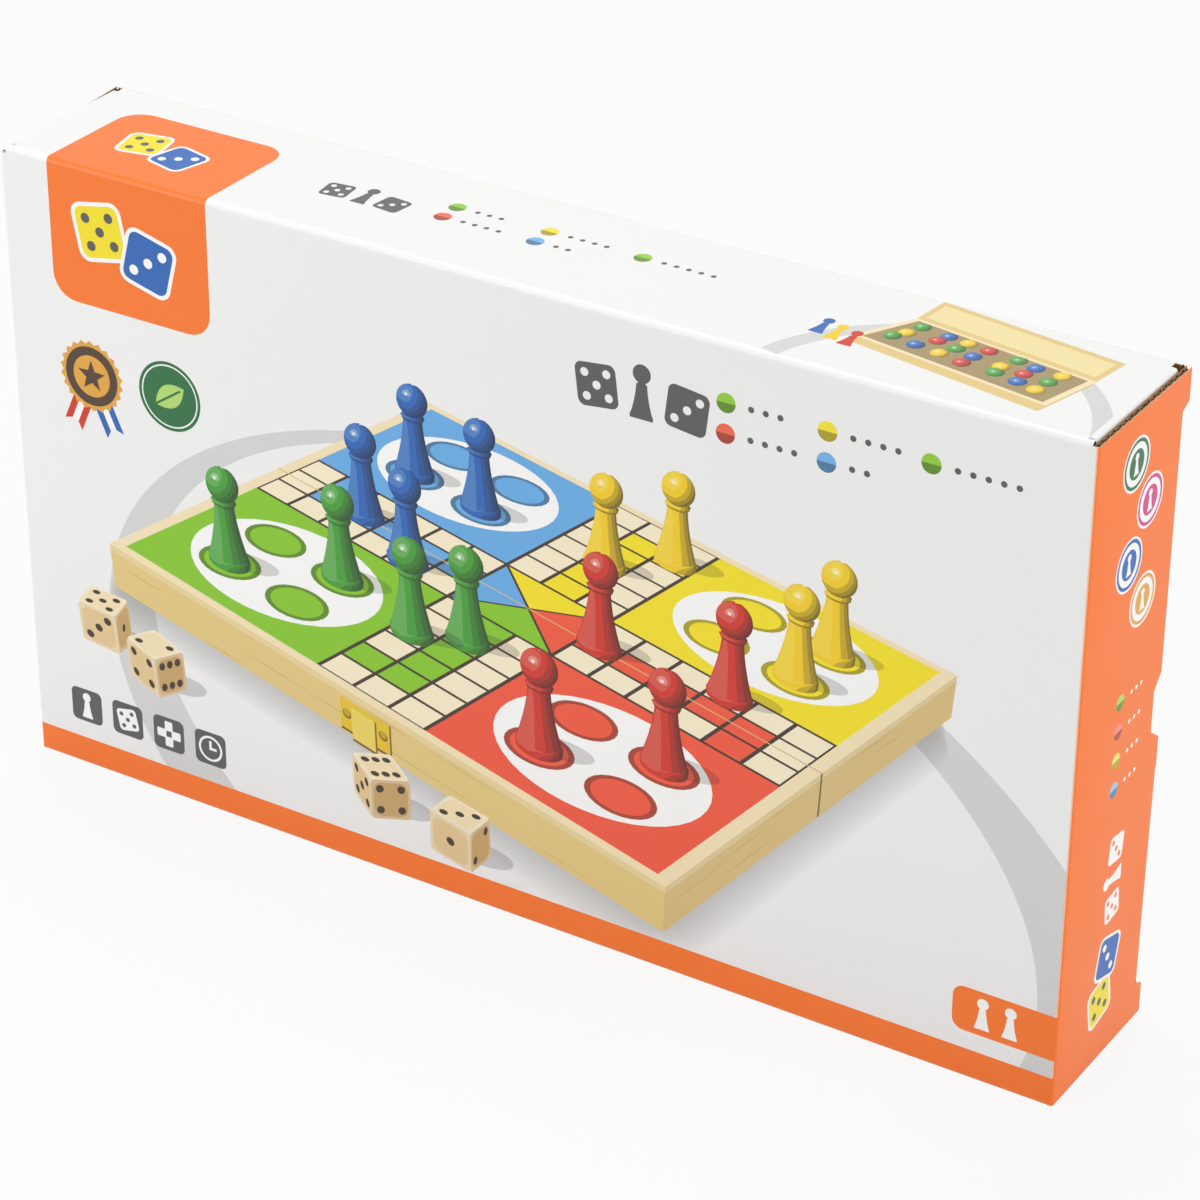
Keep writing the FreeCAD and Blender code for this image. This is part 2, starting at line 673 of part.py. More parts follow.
def contents():
    """Pawns in two staggered rows and dice in one, on the hinge rails inside the closed case."""
    for number in range(PAWN_COUNT):
        colour = PAWN_COLOURS[number // PAWNS_PER_COLOUR]
        x = f"(-{STORE_END} + stow_gap + pawn_radius + {number} * {PAWN_RUN} / {PAWN_COUNT - 1})"
        y = f"({CASE_Y} {'+' if number % 2 else '-'} {PAWN_ROW})"
        pawn(f"{colour}_pawn_{number % PAWNS_PER_COLOUR + 1}", x, y)
    for number in range(DIE_COUNT):
        die(f"die_{number + 1}", f"({STORE_END} - {number + 1} * (die_size + stow_gap))")


def check():
    """Stop if any object failed or any sub-part has no valid solid."""
    doc.recompute()
    failed = [item.Name for item in doc.Objects if {"Invalid", "Error"} & set(item.State)]
    assert not failed, failed
    for name, item in nodes.items():
        shape = item.Shape
        assert not shape.isNull() and shape.isValid() and shape.Solids, name


def export():
    """Write each sub-part to its own file."""
    os.makedirs("parts", exist_ok=True)
    for name, item in nodes.items():
        item.Shape.exportStep(f"parts/{name}.step")


carton_tube()
carton_ends()
leaflet()
wooden_case()
contents()
check()
export()
print(len(nodes), "sub-parts; carton", value(LENGTH), "x", value(DEPTH), "x", value(HEIGHT), "mm")
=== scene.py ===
"""Boxed ludo game: a printed corrugated carton with tuck ends, and the folding wooden game case inside it.

Lengths are millimetres in the frame of the CAD model, and become metres where a mesh is made.
A printed piece is drawn flat, as the blank lies before it is folded. It is cut along its prints,
then folded up.
"""

import math
import random
from cmath import exp
from functools import cache

import bmesh
import bpy
import numpy as np
from mathutils import Matrix, Vector
from mathutils.geometry import delaunay_2d_cdt


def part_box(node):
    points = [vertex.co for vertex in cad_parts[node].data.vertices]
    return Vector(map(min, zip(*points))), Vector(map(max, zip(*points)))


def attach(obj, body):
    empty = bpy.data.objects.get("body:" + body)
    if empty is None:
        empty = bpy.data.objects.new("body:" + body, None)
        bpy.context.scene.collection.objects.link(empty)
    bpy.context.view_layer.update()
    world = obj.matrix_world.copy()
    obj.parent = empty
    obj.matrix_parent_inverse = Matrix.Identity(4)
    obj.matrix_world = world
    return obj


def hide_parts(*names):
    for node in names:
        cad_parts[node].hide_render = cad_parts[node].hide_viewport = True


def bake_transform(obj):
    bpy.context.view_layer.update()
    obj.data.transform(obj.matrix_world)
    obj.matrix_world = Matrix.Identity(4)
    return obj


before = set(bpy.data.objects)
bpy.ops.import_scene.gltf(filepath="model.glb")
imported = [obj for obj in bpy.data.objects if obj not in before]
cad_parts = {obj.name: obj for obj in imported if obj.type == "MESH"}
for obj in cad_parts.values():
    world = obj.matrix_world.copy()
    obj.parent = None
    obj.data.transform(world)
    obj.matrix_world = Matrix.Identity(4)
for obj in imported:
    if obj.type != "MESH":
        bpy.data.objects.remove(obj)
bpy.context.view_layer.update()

MM = 0.001
X, Y, Z = range(3)
QUARTER = math.pi / 2


def reach(node, axis):
    """Lowest and highest place of a CAD node along an axis."""
    low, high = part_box(node)
    return low[axis] / MM, high[axis] / MM


# Carton: panels and flaps, read from the CAD nodes
BOARD = 1.5
HINGE_RADIUS = BOARD / 2
HALF_DEPTH = reach("back_panel", Y)[1]
HEIGHT = reach("front_panel", Z)[1]
FRONT_END = reach("front_panel", X)[1]
BACK_END = reach("back_panel", X)[1]
TOP_END = reach("top_panel", X)[1]
CLOSURE_END = reach("right_closure", X)[1]
CLOSURE_LOW, CLOSURE_HIGH = reach("right_closure", Z)
TONGUE_LOW, TONGUE_HIGH = reach("right_tongue", Z)
TONGUE_TIP = reach("right_tongue", X)[0]
DUST_END = reach("right_upper_dust_flap", X)[1]
DUST_FRONT, DUST_BACK = reach("right_upper_dust_flap", Y)
DUST_LENGTH = reach("right_lower_dust_flap", Z)[1] - HINGE_RADIUS

# Folds, and the thin skins that run round them. A side of 1 is the right end, and -1 the left end.
FOLD = 1.6
HAIR_GAP = 0.05
SEAM = HALF_DEPTH - BOARD - 2 * HAIR_GAP
SKIN = 0.12
SKIN_WHITE = {1: 0.5, -1: 0.85}
# Width of the pale orange line on the end fold: partly a painted highlight on the fold, partly ink cracked
# there
SKIN_LINE = 0.35

# End flaps: shoulders, crease, tongue and dust flaps
SHOULDER = 11
SHOULDER_SLANT = 1.8
FLAP_SETBACK = {1: 0.0, -1: 1.3}
SLIT = TONGUE_LOW - SHOULDER
CREASE = 20.25
TUCK_BEND = 1.6
TUCK_LEAD = 0.15
TONGUE_CORNER = 7
DUST_FRONT_TAPER, DUST_BACK_TAPER, DUST_CORNER = 21, 4, 3

# Finger notch, the deeper cuts behind it, and the tab under it that stands straight beside the tongue
THUMB_LOW, THUMB_HIGH = 83, 100
THUMB_DEPTH, THUMB_REACH, THUMB_SLOPE, THUMB_CORNER = 3, 6, 3.5, 2
THUMB_FALL = 0.72
THUMB_ROUND = 1.2
THUMB_DROP = 4
TONGUE_NOTCH_LOW = THUMB_LOW - THUMB_DROP
TAB_REACH, TAB_LONG, TAB_SLIT, TAB_STEP = 1.75, 8.8, 0.9, 0.4
TAB_HIGH = THUMB_LOW - THUMB_FALL * TAB_REACH
TAB_LOW = TAB_HIGH - TAB_LONG

# How finely curves are drawn, bends are cut and points are told apart
CURVE_STEPS = 40
CORNER_STEPS = 6
SWEEP_STEPS = 14
HOME_STEPS = 24
PIP_STEPS = 16
DOT_STEPS = 14
BEND_STEP = math.radians(15)
GUARD = 0.35
WELD = 1e-4
MERGE = 0.002
KEY_DIGITS = 4
SMOOTH_ANGLE = math.radians(40)

# Raw edge of the board: its liners, the groove between them and the waving paper, and the round hinge edge
LINER_SHARES = (0.14, 0.86)
GROOVE = 0.5
FLUTE_PITCH = 3.0
FLUTE_PAPER = 0.16
FLUTE_STEPS = 8
FLUTE_SINK = 0.05
FLUTE_MARGIN = 1.0
NOSE_STEPS = 8
NOSE_PRINTED = 2
NOSE_SHARE = 0.8

BYTE = 255


def colour(text):
    """Printing colour from six hexadecimal digits."""
    return tuple(channel / BYTE for channel in bytes.fromhex(text))


def mixed(first, second, share):
    """Colour on the way from one to another."""
    return tuple(a + (b - a) * share for a, b in zip(first, second))


# Inks and papers
CARD = colour("F1F1F0")
WHITE = colour("FAFAF8")
ORANGE = colour("F9771C")
# Pale orange of the thin line on the end folds: partly a painted highlight, partly cracked ink
PALE_ORANGE = colour("F9C3A2")
RING_GREY = colour("D5D5D4")
DARK = colour("565654")
LINE = colour("3B2A1C")
CREAM = colour("F8EBCB")
LID_INSIDE = colour("F1DFA2")
KRAFT = colour("A98258")
# Painted shade: dark brown for the floor of a raw edge's groove, standing for the shadow between the flutes
GROOVE_SHADE = colour("55391F")
LINER = colour("C8B496")
GOLD = colour("E2A33C")
DARK_GOLD = colour("4A3420")
SEAL_GREEN = colour("1F6B3A")
BRASS_INK = colour("E5C020")
DARK_BRASS_INK = colour("80601A")
MAGENTA = colour("D23A8C")
WOOD = colour("F4E2B8")
WOOD_SIDE = colour("E3C781")
WOOD_SHADE = colour("D8BC7E")
WOOD_STREAK = colour("D6B57A")
GREEN = colour("86C51E")
RED = colour("F05638")
YELLOW = colour("F5E012")
BLUE = colour("66ABE4")
PAWN_GREEN = colour("3F9A2E")
PAWN_RED = colour("CE2F1E")
PAWN_YELLOW = colour("F2CB12")
PAWN_BLUE = colour("2262B4")
BLACK = (0, 0, 0)

FIELD_COLOURS = (GREEN, RED, YELLOW, BLUE)
PAWN_COLOURS = (PAWN_GREEN, PAWN_RED, PAWN_YELLOW, PAWN_BLUE)


# Finishes


GRAIN_STRETCH = 0.06


class Wiring:
    """Nodes of a tree, with short ways to add them."""

    def __init__(self, tree):
        self.nodes = tree.nodes
        self.links = tree.links

    def node(self, kind, feeds=(), **values):
        """Adds a node, sets its inputs by name and links what feeds it."""
        item = self.nodes.new(kind)
        for name, value in values.items():
            item.inputs[name.replace("_", " ")].default_value = value
        for name, source in feeds:
            self.links.new(source, item.inputs[name])
        return item

    def sum(self, operation, *terms):
        """Result of a sum, whose terms are sockets or numbers."""
        item = self.nodes.new("ShaderNodeMath")
        item.operation = operation
        for socket, term in zip(item.inputs, terms):
            if isinstance(term, (int, float)):
                socket.default_value = term
            else:
                self.links.new(term, socket)
        return item.outputs["Value"]

    def eye_rays(self):
        """1 for what the camera sees, straight or by gloss or glass, and 0 for what lights the object."""
        path = self.nodes.new("ShaderNodeLightPath").outputs
        shining = self.sum("MAXIMUM", path["Is Glossy Ray"], path["Is Transmission Ray"])
        return self.sum("MAXIMUM", path["Is Camera Ray"], shining)

    def blended(self, share, first, second, output):
        """Ends a tree in a blend of two shaders, by the share of the second."""
        both = self.node("ShaderNodeMixShader", [("Fac", share)])
        self.links.new(first, both.inputs[1])
        self.links.new(second, both.inputs[2])
        self.links.new(both.outputs["Shader"], self.nodes[output].inputs["Surface"])


class Finish(Wiring):
    """Material on the piece's own coordinates, with short ways to add its patterns."""

    def __init__(self, name, base, roughness, metallic=0.0, coat=0.0):
        self.material = bpy.data.materials.new(name)
        self.material.use_nodes = True
        super().__init__(self.material.node_tree)
        self.shader = self.nodes["Principled BSDF"]
        self.shader.inputs["Base Color"].default_value = (*linear(base), 1)
        self.shader.inputs["Roughness"].default_value = roughness
        self.shader.inputs["Metallic"].default_value = metallic
        self.shader.inputs["Coat Weight"].default_value = coat
        self.place = self.nodes.new("ShaderNodeTexCoord").outputs["Object"]

    def noise(self, scale, stretch=(1, 1, 1), detail=3.0, distortion=0.0):
        mapping = self.node("ShaderNodeMapping", [("Vector", self.place)], Scale=stretch)
        item = self.node("ShaderNodeTexNoise", [("Vector", mapping.outputs["Vector"])],
                         Scale=scale, Detail=detail, Distortion=distortion)
        return item.outputs["Fac"]

    def tint(self, factor, stops):
        """Colours by a pattern: stops are places from 0 to 1 with a colour each."""
        ramp = self.node("ShaderNodeValToRGB", [("Fac", factor)])
        elements = ramp.color_ramp.elements
        while len(elements) < len(stops):
            elements.new(1)
        for element, (place, base) in zip(elements, stops):
            element.position = place
            element.color = (*linear(base), 1)
        self.links.new(ramp.outputs["Color"], self.shader.inputs["Base Color"])

    def polish(self, factor, low, high):
        """Roughness between two values, by a pattern."""
        span = self.node("ShaderNodeMapRange", [("Value", factor)], To_Min=low, To_Max=high)
        self.links.new(span.outputs["Result"], self.shader.inputs["Roughness"])

    def relief(self, height, strength, distance):
        bump = self.node("ShaderNodeBump", [("Height", height)], Strength=strength, Distance=distance)
        self.links.new(bump.outputs["Normal"], self.shader.inputs["Normal"])


def linear(base):
    """Light of a printing colour, as the shader takes it, by the sRGB standard."""
    return tuple(c / 12.92 if c <= 0.04045 else ((c + 0.055) / 1.055) ** 2.4 for c in base)


@cache
def ink(base):
    """Laminated print on corrugated board: one ink, with the film's uneven gloss over the flutes."""
    name = "print_" + "".join(f"{round(c * BYTE):02x}" for c in base)
    finish = Finish(name, base, roughness=0.4)
    finish.polish(finish.noise(scale=35, detail=4), low=0.34, high=0.48)
    finish.relief(finish.noise(scale=160, stretch=(0.1, 1, 1), detail=2), strength=0.06, distance=0.0002)
    return finish.material


@cache
def kraft(base, name):
    """Uncoated brown board: dull, with fibres that stand up."""
    finish = Finish(name, base, roughness=0.85)
    finish.polish(finish.noise(scale=300, stretch=(0.2, 1, 1)), low=0.75, high=0.95)
    finish.relief(finish.noise(scale=900, stretch=(0.3, 1, 1), detail=5), strength=0.25, distance=0.0002)
    return finish.material


def inside_liner():
    return kraft(KRAFT, "inside_liner")


def fluting_paper():
    """Brown paper of the waves, mottled."""
    finish = Finish("fluting_paper", KRAFT, roughness=0.9)
    mottle = finish.noise(scale=600, detail=5)
    finish.tint(mottle, [(0.3, mixed(KRAFT, BLACK, 0.25)), (0.7, mixed(KRAFT, WHITE, 0.15))])
    finish.relief(finish.noise(scale=1500), strength=0.2, distance=0.0001)
    return finish.material


def pale_wood(name, along):
    """Planed lime wood with its grain along an axis."""
    finish = Finish(name, WOOD, roughness=0.55)
    stretch = [1.0, 1.0, 1.0]
    stretch[along] = GRAIN_STRETCH
    grain = finish.noise(scale=140, stretch=stretch, detail=6, distortion=0.6)
    finish.tint(grain, [(0.25, colour("C9A263")), (0.48, colour("E3C68D")), (0.75, colour("F0DCAE"))])
    finish.polish(grain, low=0.6, high=0.45)
    finish.relief(finish.noise(scale=700, stretch=stretch, detail=4), strength=0.15, distance=0.0002)
    return finish.material


def brass():
    """Brushed brass plating, a little worn."""
    finish = Finish("brass_plating", colour("E3BE5E"), roughness=0.25, metallic=1.0)
    wear = finish.noise(scale=220, stretch=(1, 4, 1), detail=5)
    finish.tint(wear, [(0.3, colour("C79A3C")), (0.7, colour("EFD07A"))])
    finish.polish(finish.noise(scale=500, stretch=(1, 8, 1)), low=0.18, high=0.38)
    return finish.material


def lacquer(name, base):
    """Sprayed gloss lacquer on turned wood, a little thinner on the edges of the grain."""
    finish = Finish(name, base, roughness=0.25, coat=0.6)
    pull = finish.noise(scale=160, stretch=(1, 1, 0.4), detail=4)
    finish.tint(pull, [(0.25, mixed(base, BLACK, 0.18)), (0.75, mixed(base, WHITE, 0.08))])
    finish.polish(finish.noise(scale=90), low=0.2, high=0.34)
    finish.relief(finish.noise(scale=260, stretch=(1, 1, 0.3)), strength=0.08, distance=0.0002)
    return finish.material


def pip_paint():
    """Thick dark paint, uneven where it settled."""
    finish = Finish("pip_paint", LINE, roughness=0.4)
    settled = finish.noise(scale=900, detail=3)
    finish.tint(settled, [(0.3, mixed(LINE, BLACK, 0.5)), (0.7, LINE)])
    finish.polish(settled, low=0.3, high=0.5)
    finish.relief(settled, strength=0.2, distance=0.0001)
    return finish.material


def leaflet_paper():
    """Uncoated white paper."""
    finish = Finish("leaflet_paper", WHITE, roughness=0.7)
    finish.tint(finish.noise(scale=500, detail=6), [(0.35, colour("E9E8E4")), (0.7, colour("F6F5F1"))])
    finish.relief(finish.noise(scale=1200, detail=4), strength=0.1, distance=0.0001)
    return finish.material


# Shapes drawn flat


def circle(x, y, radius, tall=None, count=CURVE_STEPS):
    """Circle, or an ellipse if its half height is given too."""
    tall = tall or radius
    angles = [2 * math.pi * i / count for i in range(count)]
    return [(x + radius * math.cos(a), y + tall * math.sin(a)) for a in angles]


def box(x0, y0, x1, y1, corner=0.0, corners=(1, 1, 1, 1)):
    """Rectangle whose corners may be rounded: low left, low right, high right, high left."""
    places = ((x0, y0, 1, 1), (x1, y0, -1, 1), (x1, y1, -1, -1), (x0, y1, 1, -1))
    outline = []
    for i, (x, y, right, up) in enumerate(places):
        if not corner * corners[i]:
            outline.append((x, y))
            continue
        start = math.pi + i * QUARTER
        for step in range(CORNER_STEPS + 1):
            angle = start + QUARTER * step / CORNER_STEPS
            outline.append((x + corner * (right + math.cos(angle)), y + corner * (up + math.sin(angle))))
    return outline


def square(x, y, half, corner=0.0):
    return box(x - half, y - half, x + half, y + half, corner)


def star(x, y, outer, inner, count):
    """Star, or a scalloped rim where its two radii are near each other."""
    radii = (outer, inner)
    angles = [QUARTER + math.pi * i / count for i in range(2 * count)]
    return [(x + radii[i % 2] * math.cos(a), y + radii[i % 2] * math.sin(a)) for i, a in enumerate(angles)]


def turned(outline, x, y, angle):
    """An outline turned about a point."""
    turn = exp(1j * angle)
    spots = [complex(a - x, b - y) * turn for a, b in outline]
    return [(x + spot.real, y + spot.imag) for spot in spots]


def arc_band(x, y, outer, inner, start, end):
    """Part of a ring between two ellipses, each given by its two half widths."""
    angles = [start + (end - start) * i / CURVE_STEPS for i in range(CURVE_STEPS + 1)]
    outside = [(x + outer[0] * math.cos(a), y + outer[1] * math.sin(a)) for a in angles]
    inside_line = [(x + inner[0] * math.cos(a), y + inner[1] * math.sin(a)) for a in reversed(angles)]
    return outside + inside_line


class Sheet:
    """Prints on a flat blank, in the order that they are laid down. A number for ink shades what is below."""

    def __init__(self, place):
        self.place = place
        self.prints = []

    def lay(self, outline, base):
        self.prints.append(([self.place(*point) for point in outline], base))

    def lay_discs(self, x, y, rings):
        """Discs on one centre, the widest first."""
        for radius, base in rings:
            self.lay(circle(x, y, radius), base)


# Pictures of game pieces


# Pips of a die by their number, as steps from its middle
PIPS = {
    1: ((0, 0),),
    2: ((-1, -1), (1, 1)),
    3: ((-1, -1), (0, 0), (1, 1)),
    4: ((-1, -1), (1, -1), (1, 1), (-1, 1)),
    5: ((-1, -1), (1, -1), (0, 0), (1, 1), (-1, 1)),
    6: ((-1, -1), (-1, 0), (-1, 1), (1, -1), (1, 0), (1, 1)),
}

# A flat die: pips, corners and rim, as shares of its size
PIP_SPREAD = 0.27
PIP_RADIUS = 0.1
DIE_CORNER = 0.17
DIE_RIM, DIE_RIM_CORNER = 1.16, 0.24
# Pips, inks and lean of the two dice in a pair
DICE_PAIR = ((5, YELLOW, DARK, 0.2), (3, PAWN_BLUE, WHITE, -0.25))

# A turned pawn, as heights and radii: its foot, its body up to the neck, its collar and its ball
PAWN_FOOT = ((0, 9.2), (2.2, 9.4), (3.4, 8.8), (3.8, 7.8))
PAWN_BODY_LOW, PAWN_BODY_TALL, PAWN_BODY_STEPS = 3.6, 22.6, 10
PAWN_NECK, PAWN_SPREAD, PAWN_CURVE = 4.4, 4.2, 1.6
PAWN_COLLAR = ((26, 4.4), (26.5, 5.3), (27.4, 5.6), (28.2, 5.2), (28.6, 0.5))
BALL_RADIUS = 7.2
BALL_HEIGHT = 34.2
BALL_RINGS = 16
PAWN_TALL = BALL_HEIGHT + BALL_RADIUS


def pawn_body():
    """Body that narrows upwards to the neck, in a hollow curve."""
    shares = [step / PAWN_BODY_STEPS for step in range(PAWN_BODY_STEPS + 1)]
    return [(PAWN_BODY_LOW + PAWN_BODY_TALL * share, PAWN_NECK + PAWN_SPREAD * (1 - share) ** PAWN_CURVE)
            for share in shares]


def pawn_ball():
    angles = [math.pi * (i / BALL_RINGS - 0.5) for i in range(BALL_RINGS + 1)]
    return [(BALL_HEIGHT + BALL_RADIUS * math.sin(a), BALL_RADIUS * math.cos(a)) for a in angles]


def pawn_outline(x, y, height):
    """Flat pawn that stands on a point."""
    profile = [*PAWN_FOOT[:2], *pawn_body()[1:], *pawn_ball()[2:-1]]
    size = height / PAWN_TALL
    right = [(x + radius * size, y + level * size) for level, radius in profile]
    left = [(2 * x - a, b) for a, b in reversed(right)]
    return right + [(x, y + height)] + left


def die_face(sheet, x, y, size, count, base, pip, angle=0.0, rim=None):
    """Flat die with its pips, with a rim of another ink round it if asked."""
    half = size / 2
    if rim:
        sheet.lay(turned(square(x, y, half * DIE_RIM, size * DIE_RIM_CORNER), x, y, angle), rim)
    sheet.lay(turned(square(x, y, half, size * DIE_CORNER), x, y, angle), base)
    for i, j in PIPS[count]:
        place = (x + i * size * PIP_SPREAD, y + j * size * PIP_SPREAD)
        spot = circle(*place, size * PIP_RADIUS, count=PIP_STEPS)
        sheet.lay(turned(spot, x, y, angle), pip)


def dice_pair(sheet, places, size):
    """A yellow five and a blue three that lean apart, with white rims."""
    for place, look in zip(places, DICE_PAIR):
        die_face(sheet, *place, size, *look, WHITE)


def two_tone_disc(sheet, x, y, radius, upper, lower):
    """Disc whose lower half has an ink of its own."""
    sheet.lay(circle(x, y, radius), upper)
    half = [point for point in circle(x, y, radius) if point[1] <= y + WELD]
    sheet.lay(half, lower)


# The game field, measured in its squares
FIELD_SQUARES = 15
YARD_SQUARES = 6
LINE_SHARE = 0.05
YARD_DISC = 2.5
HOME_OFFSET = 1.05
HOME_RADIUS = 0.68
HOME_RIM = 0.82
HOME_DARK = 0.3


def quarter_turned(a, b, quarter):
    """A place on the game field, moved to another player's quarter."""
    for _ in range(quarter):
        a, b = FIELD_SQUARES - b, a
    return a, b


def game_field(sheet, spot):
    """Ludo field: four yards, a cross of squares and the home in the middle."""
    sheet.lay([spot(a, b) for a, b in box(0, 0, FIELD_SQUARES, FIELD_SQUARES)], LINE)
    for quarter, base in enumerate(FIELD_COLOURS):

        def lay(outline, paint, quarter=quarter):
            sheet.lay([spot(*quarter_turned(a, b, quarter)) for a, b in outline], paint)

        lay(box(0, 0, YARD_SQUARES - LINE_SHARE, YARD_SQUARES - LINE_SHARE), base)
        middle = YARD_SQUARES / 2
        lay(circle(middle, middle, YARD_DISC), WHITE)
        for i, j in PIPS[4]:
            home = (middle + i * HOME_OFFSET, middle + j * HOME_OFFSET)
            lay(circle(*home, HOME_RIM, count=HOME_STEPS), mixed(base, BLACK, HOME_DARK))
            lay(circle(*home, HOME_RADIUS, count=HOME_STEPS), base)
        for column in range(3):
            for row in range(YARD_SQUARES):
                low = (YARD_SQUARES + column + LINE_SHARE, row + LINE_SHARE)
                high = [place + 1 - 2 * LINE_SHARE for place in low]
                own = (column == 1 and row > 0) or (column == 0 and row == 1)
                lay(box(*low, *high), base if own else CREAM)
        centre = FIELD_SQUARES / 2
        lay(((YARD_SQUARES + 2 * LINE_SHARE, YARD_SQUARES + LINE_SHARE),
             (FIELD_SQUARES - YARD_SQUARES - 2 * LINE_SHARE, YARD_SQUARES + LINE_SHARE),
             (centre, centre - LINE_SHARE)), base)


class View:
    """Picture of solid things in perspective, as places on a panel."""

    def __init__(self, middle, scale, turn, tilt, distance):
        self.middle = complex(*middle)
        self.scale = scale
        self.turn = exp(1j * math.radians(turn))
        self.tilt = math.radians(tilt)
        self.distance = distance

    def swung(self, x, y):
        """How far a point lies across the picture and away from the eye."""
        place = complex(x, y) * self.turn
        return place.real, place.imag

    def seen(self, across, away, height):
        depth = away * math.cos(self.tilt) - height * math.sin(self.tilt)
        near = self.scale * self.distance / (self.distance + depth)
        rise = away * math.sin(self.tilt) + height * math.cos(self.tilt)
        place = self.middle + near * complex(across, rise)
        return place.real, place.imag

    def spot(self, x, y, height=0.0):
        return self.seen(*self.swung(x, y), height)


# Light in the pictures comes from the upper left
PICTURE_LIGHT = (math.radians(-48), math.radians(42))
PICTURE_GLINT = (math.radians(-26), math.radians(40))
SHADE = 0.84
SOFT_SHADE = 0.985

# Tones of a turned piece from dark to light: the light, how squarely a spot must face it for this tone,
# and the ink that is mixed in with its share
TONES = (
    (PICTURE_LIGHT, -2, BLACK, 0.5),
    (PICTURE_LIGHT, -0.1, BLACK, 0.34),
    (PICTURE_LIGHT, 0.2, BLACK, 0.18),
    (PICTURE_LIGHT, 0.48, WHITE, 0),
    (PICTURE_LIGHT, 0.76, WHITE, 0.18),
    (PICTURE_GLINT, 0.955, WHITE, 0.45),
    (PICTURE_GLINT, 0.99, WHITE, 0.85),
)


def facing(slope, elevation, level):
    """Half of the angle round a turned form in which it faces a direction by more than a level."""
    flat = math.cos(slope) * math.cos(elevation)
    short = level - math.sin(slope) * math.sin(elevation)
    if abs(flat) < WELD:
        return math.pi if short < 0 else 0.0
    return math.acos(max(-1.0, min(1.0, short / flat)))


def with_slopes(profile):
    """Heights and radii of a turned form, each with the slope of its side there."""
    rings = []
    for i, (height, radius) in enumerate(profile):
        before, after = profile[max(i - 1, 0)], profile[min(i + 1, len(profile) - 1)]
        rings.append((height, radius, math.atan2(before[1] - after[1], after[0] - before[0])))
    return rings


def turned_form(sheet, view, place, base_height, profile, size, base):
    """Picture of a turned form: one outline for each tone, laid from dark to light."""
    across, away = view.swung(*place)

    def point(height, radius, angle):
        return view.seen(across + radius * size * math.sin(angle), away - radius * size * math.cos(angle),
                         base_height + height * size)

    def sweep(ring, start, end):
        steps = range(1, SWEEP_STEPS)
        return [point(*ring[:2], start + (end - start) * i / SWEEP_STEPS) for i in steps]

    for (azimuth, elevation), level, other, share in TONES:
        band = []
        for height, radius, slope in with_slopes(profile):
            seen = facing(slope, view.tilt, 0)
            lit = facing(slope, elevation, level)
            low, high = max(-seen, azimuth - lit), min(seen, azimuth + lit)
            if high - low > BEND_STEP / 4:
                band.append((height, max(radius, HAIR_GAP), low, high))
        if len(band) < 2:
            continue
        rise = [point(height, radius, low) for height, radius, low, _ in band]
        fall = [point(height, radius, high) for height, radius, _, high in reversed(band)]
        over = sweep(band[-1], band[-1][2], band[-1][3])
        under = sweep(band[0], band[0][3], band[0][2])
        sheet.lay(rise + over + fall + under, mixed(base, other, share))


# Shadows beside the pieces, and the wooden die's top, front and right side
PAWN_SHADOW = 13
PAWN_SHADOW_SHIFT, PAWN_SHADOW_SIZE = (0.6, 0.35), (1.05, 0.62)
DIE_SHADOW_SHIFT, DIE_SHADOW_SIZE = (1, 0.5), (1.35, 0.9)
DIE_TONES = (colour("F3E0B6"), colour("E3C692"), colour("C6A066"))
DIE_EDGE_CORNER, DIE_EDGE_LIGHT = 0.1, 0.3
DIE_FLAT, DIE_FLAT_CORNER = 0.86, 0.2


def thrown_shadow(sheet, view, place, ground, extent, shift, size):
    """Oval shadow beside a piece, with its shift and its half widths as shares of the piece's extent."""
    across, away = view.swung(*place)
    middle = (across + shift[0] * extent, away + shift[1] * extent)
    oval = circle(*middle, size[0] * extent, size[1] * extent)
    sheet.lay([view.seen(a, b, ground) for a, b in oval], SHADE)


def pawn_picture(sheet, view, place, ground, size, base):
    """Pawn with the shadow that it throws to the right."""
    thrown_shadow(sheet, view, place, ground, PAWN_SHADOW * size, PAWN_SHADOW_SHIFT, PAWN_SHADOW_SIZE)
    for profile in (PAWN_FOOT, pawn_body(), PAWN_COLLAR, pawn_ball()):
        turned_form(sheet, view, place, ground, profile, size, base)


def die_picture(sheet, view, place, ground, size, spin, counts):
    """Wooden die, with its three sides that show and its pips."""
    across, away = view.swung(*place)
    half = size / 2
    thrown_shadow(sheet, view, place, ground, half, DIE_SHADOW_SHIFT, DIE_SHADOW_SIZE)
    angle = math.radians(spin)
    right = (math.cos(angle), math.sin(angle))
    back = (-right[1], right[0])

    def on_top(i, j):
        return i * right[0] + j * back[0], i * right[1] + j * back[1], size

    def on_front(i, j):
        return i * right[0] - half * back[0], i * right[1] - half * back[1], half + j

    def on_right(i, j):
        return j * back[0] + half * right[0], j * back[1] + half * right[1], half + i

    def lay(side, outline, paint):
        spots = [side(i, j) for i, j in outline]
        sheet.lay([view.seen(across + a, away + b, ground + c) for a, b, c in spots], paint)

    sides = list(zip((on_top, on_front, on_right), DIE_TONES))
    for side, tone in sides:
        lay(side, square(0, 0, half, DIE_EDGE_CORNER * size), mixed(tone, WHITE, DIE_EDGE_LIGHT))
    for (side, tone), count in zip(sides, counts):
        lay(side, square(0, 0, DIE_FLAT * half, DIE_FLAT_CORNER * size), tone)
        for i, j in PIPS[count]:
            spot = circle(i * size * PIP_SPREAD, j * size * PIP_SPREAD, size * PIP_RADIUS, count=DOT_STEPS)
            lay(side, spot, LINE)


# Picture of the open game on the front panel
PICTURE_VIEW = View(middle=(5, 93), scale=0.62, turn=-28, tilt=26.5, distance=1150)
GAME_HALF_X, GAME_HALF_Y = 145, 156
GAME_THICK = 22
GAME_MARGIN = 6
PAWN_SIZE = 1.12
DIE_SIZE = 19

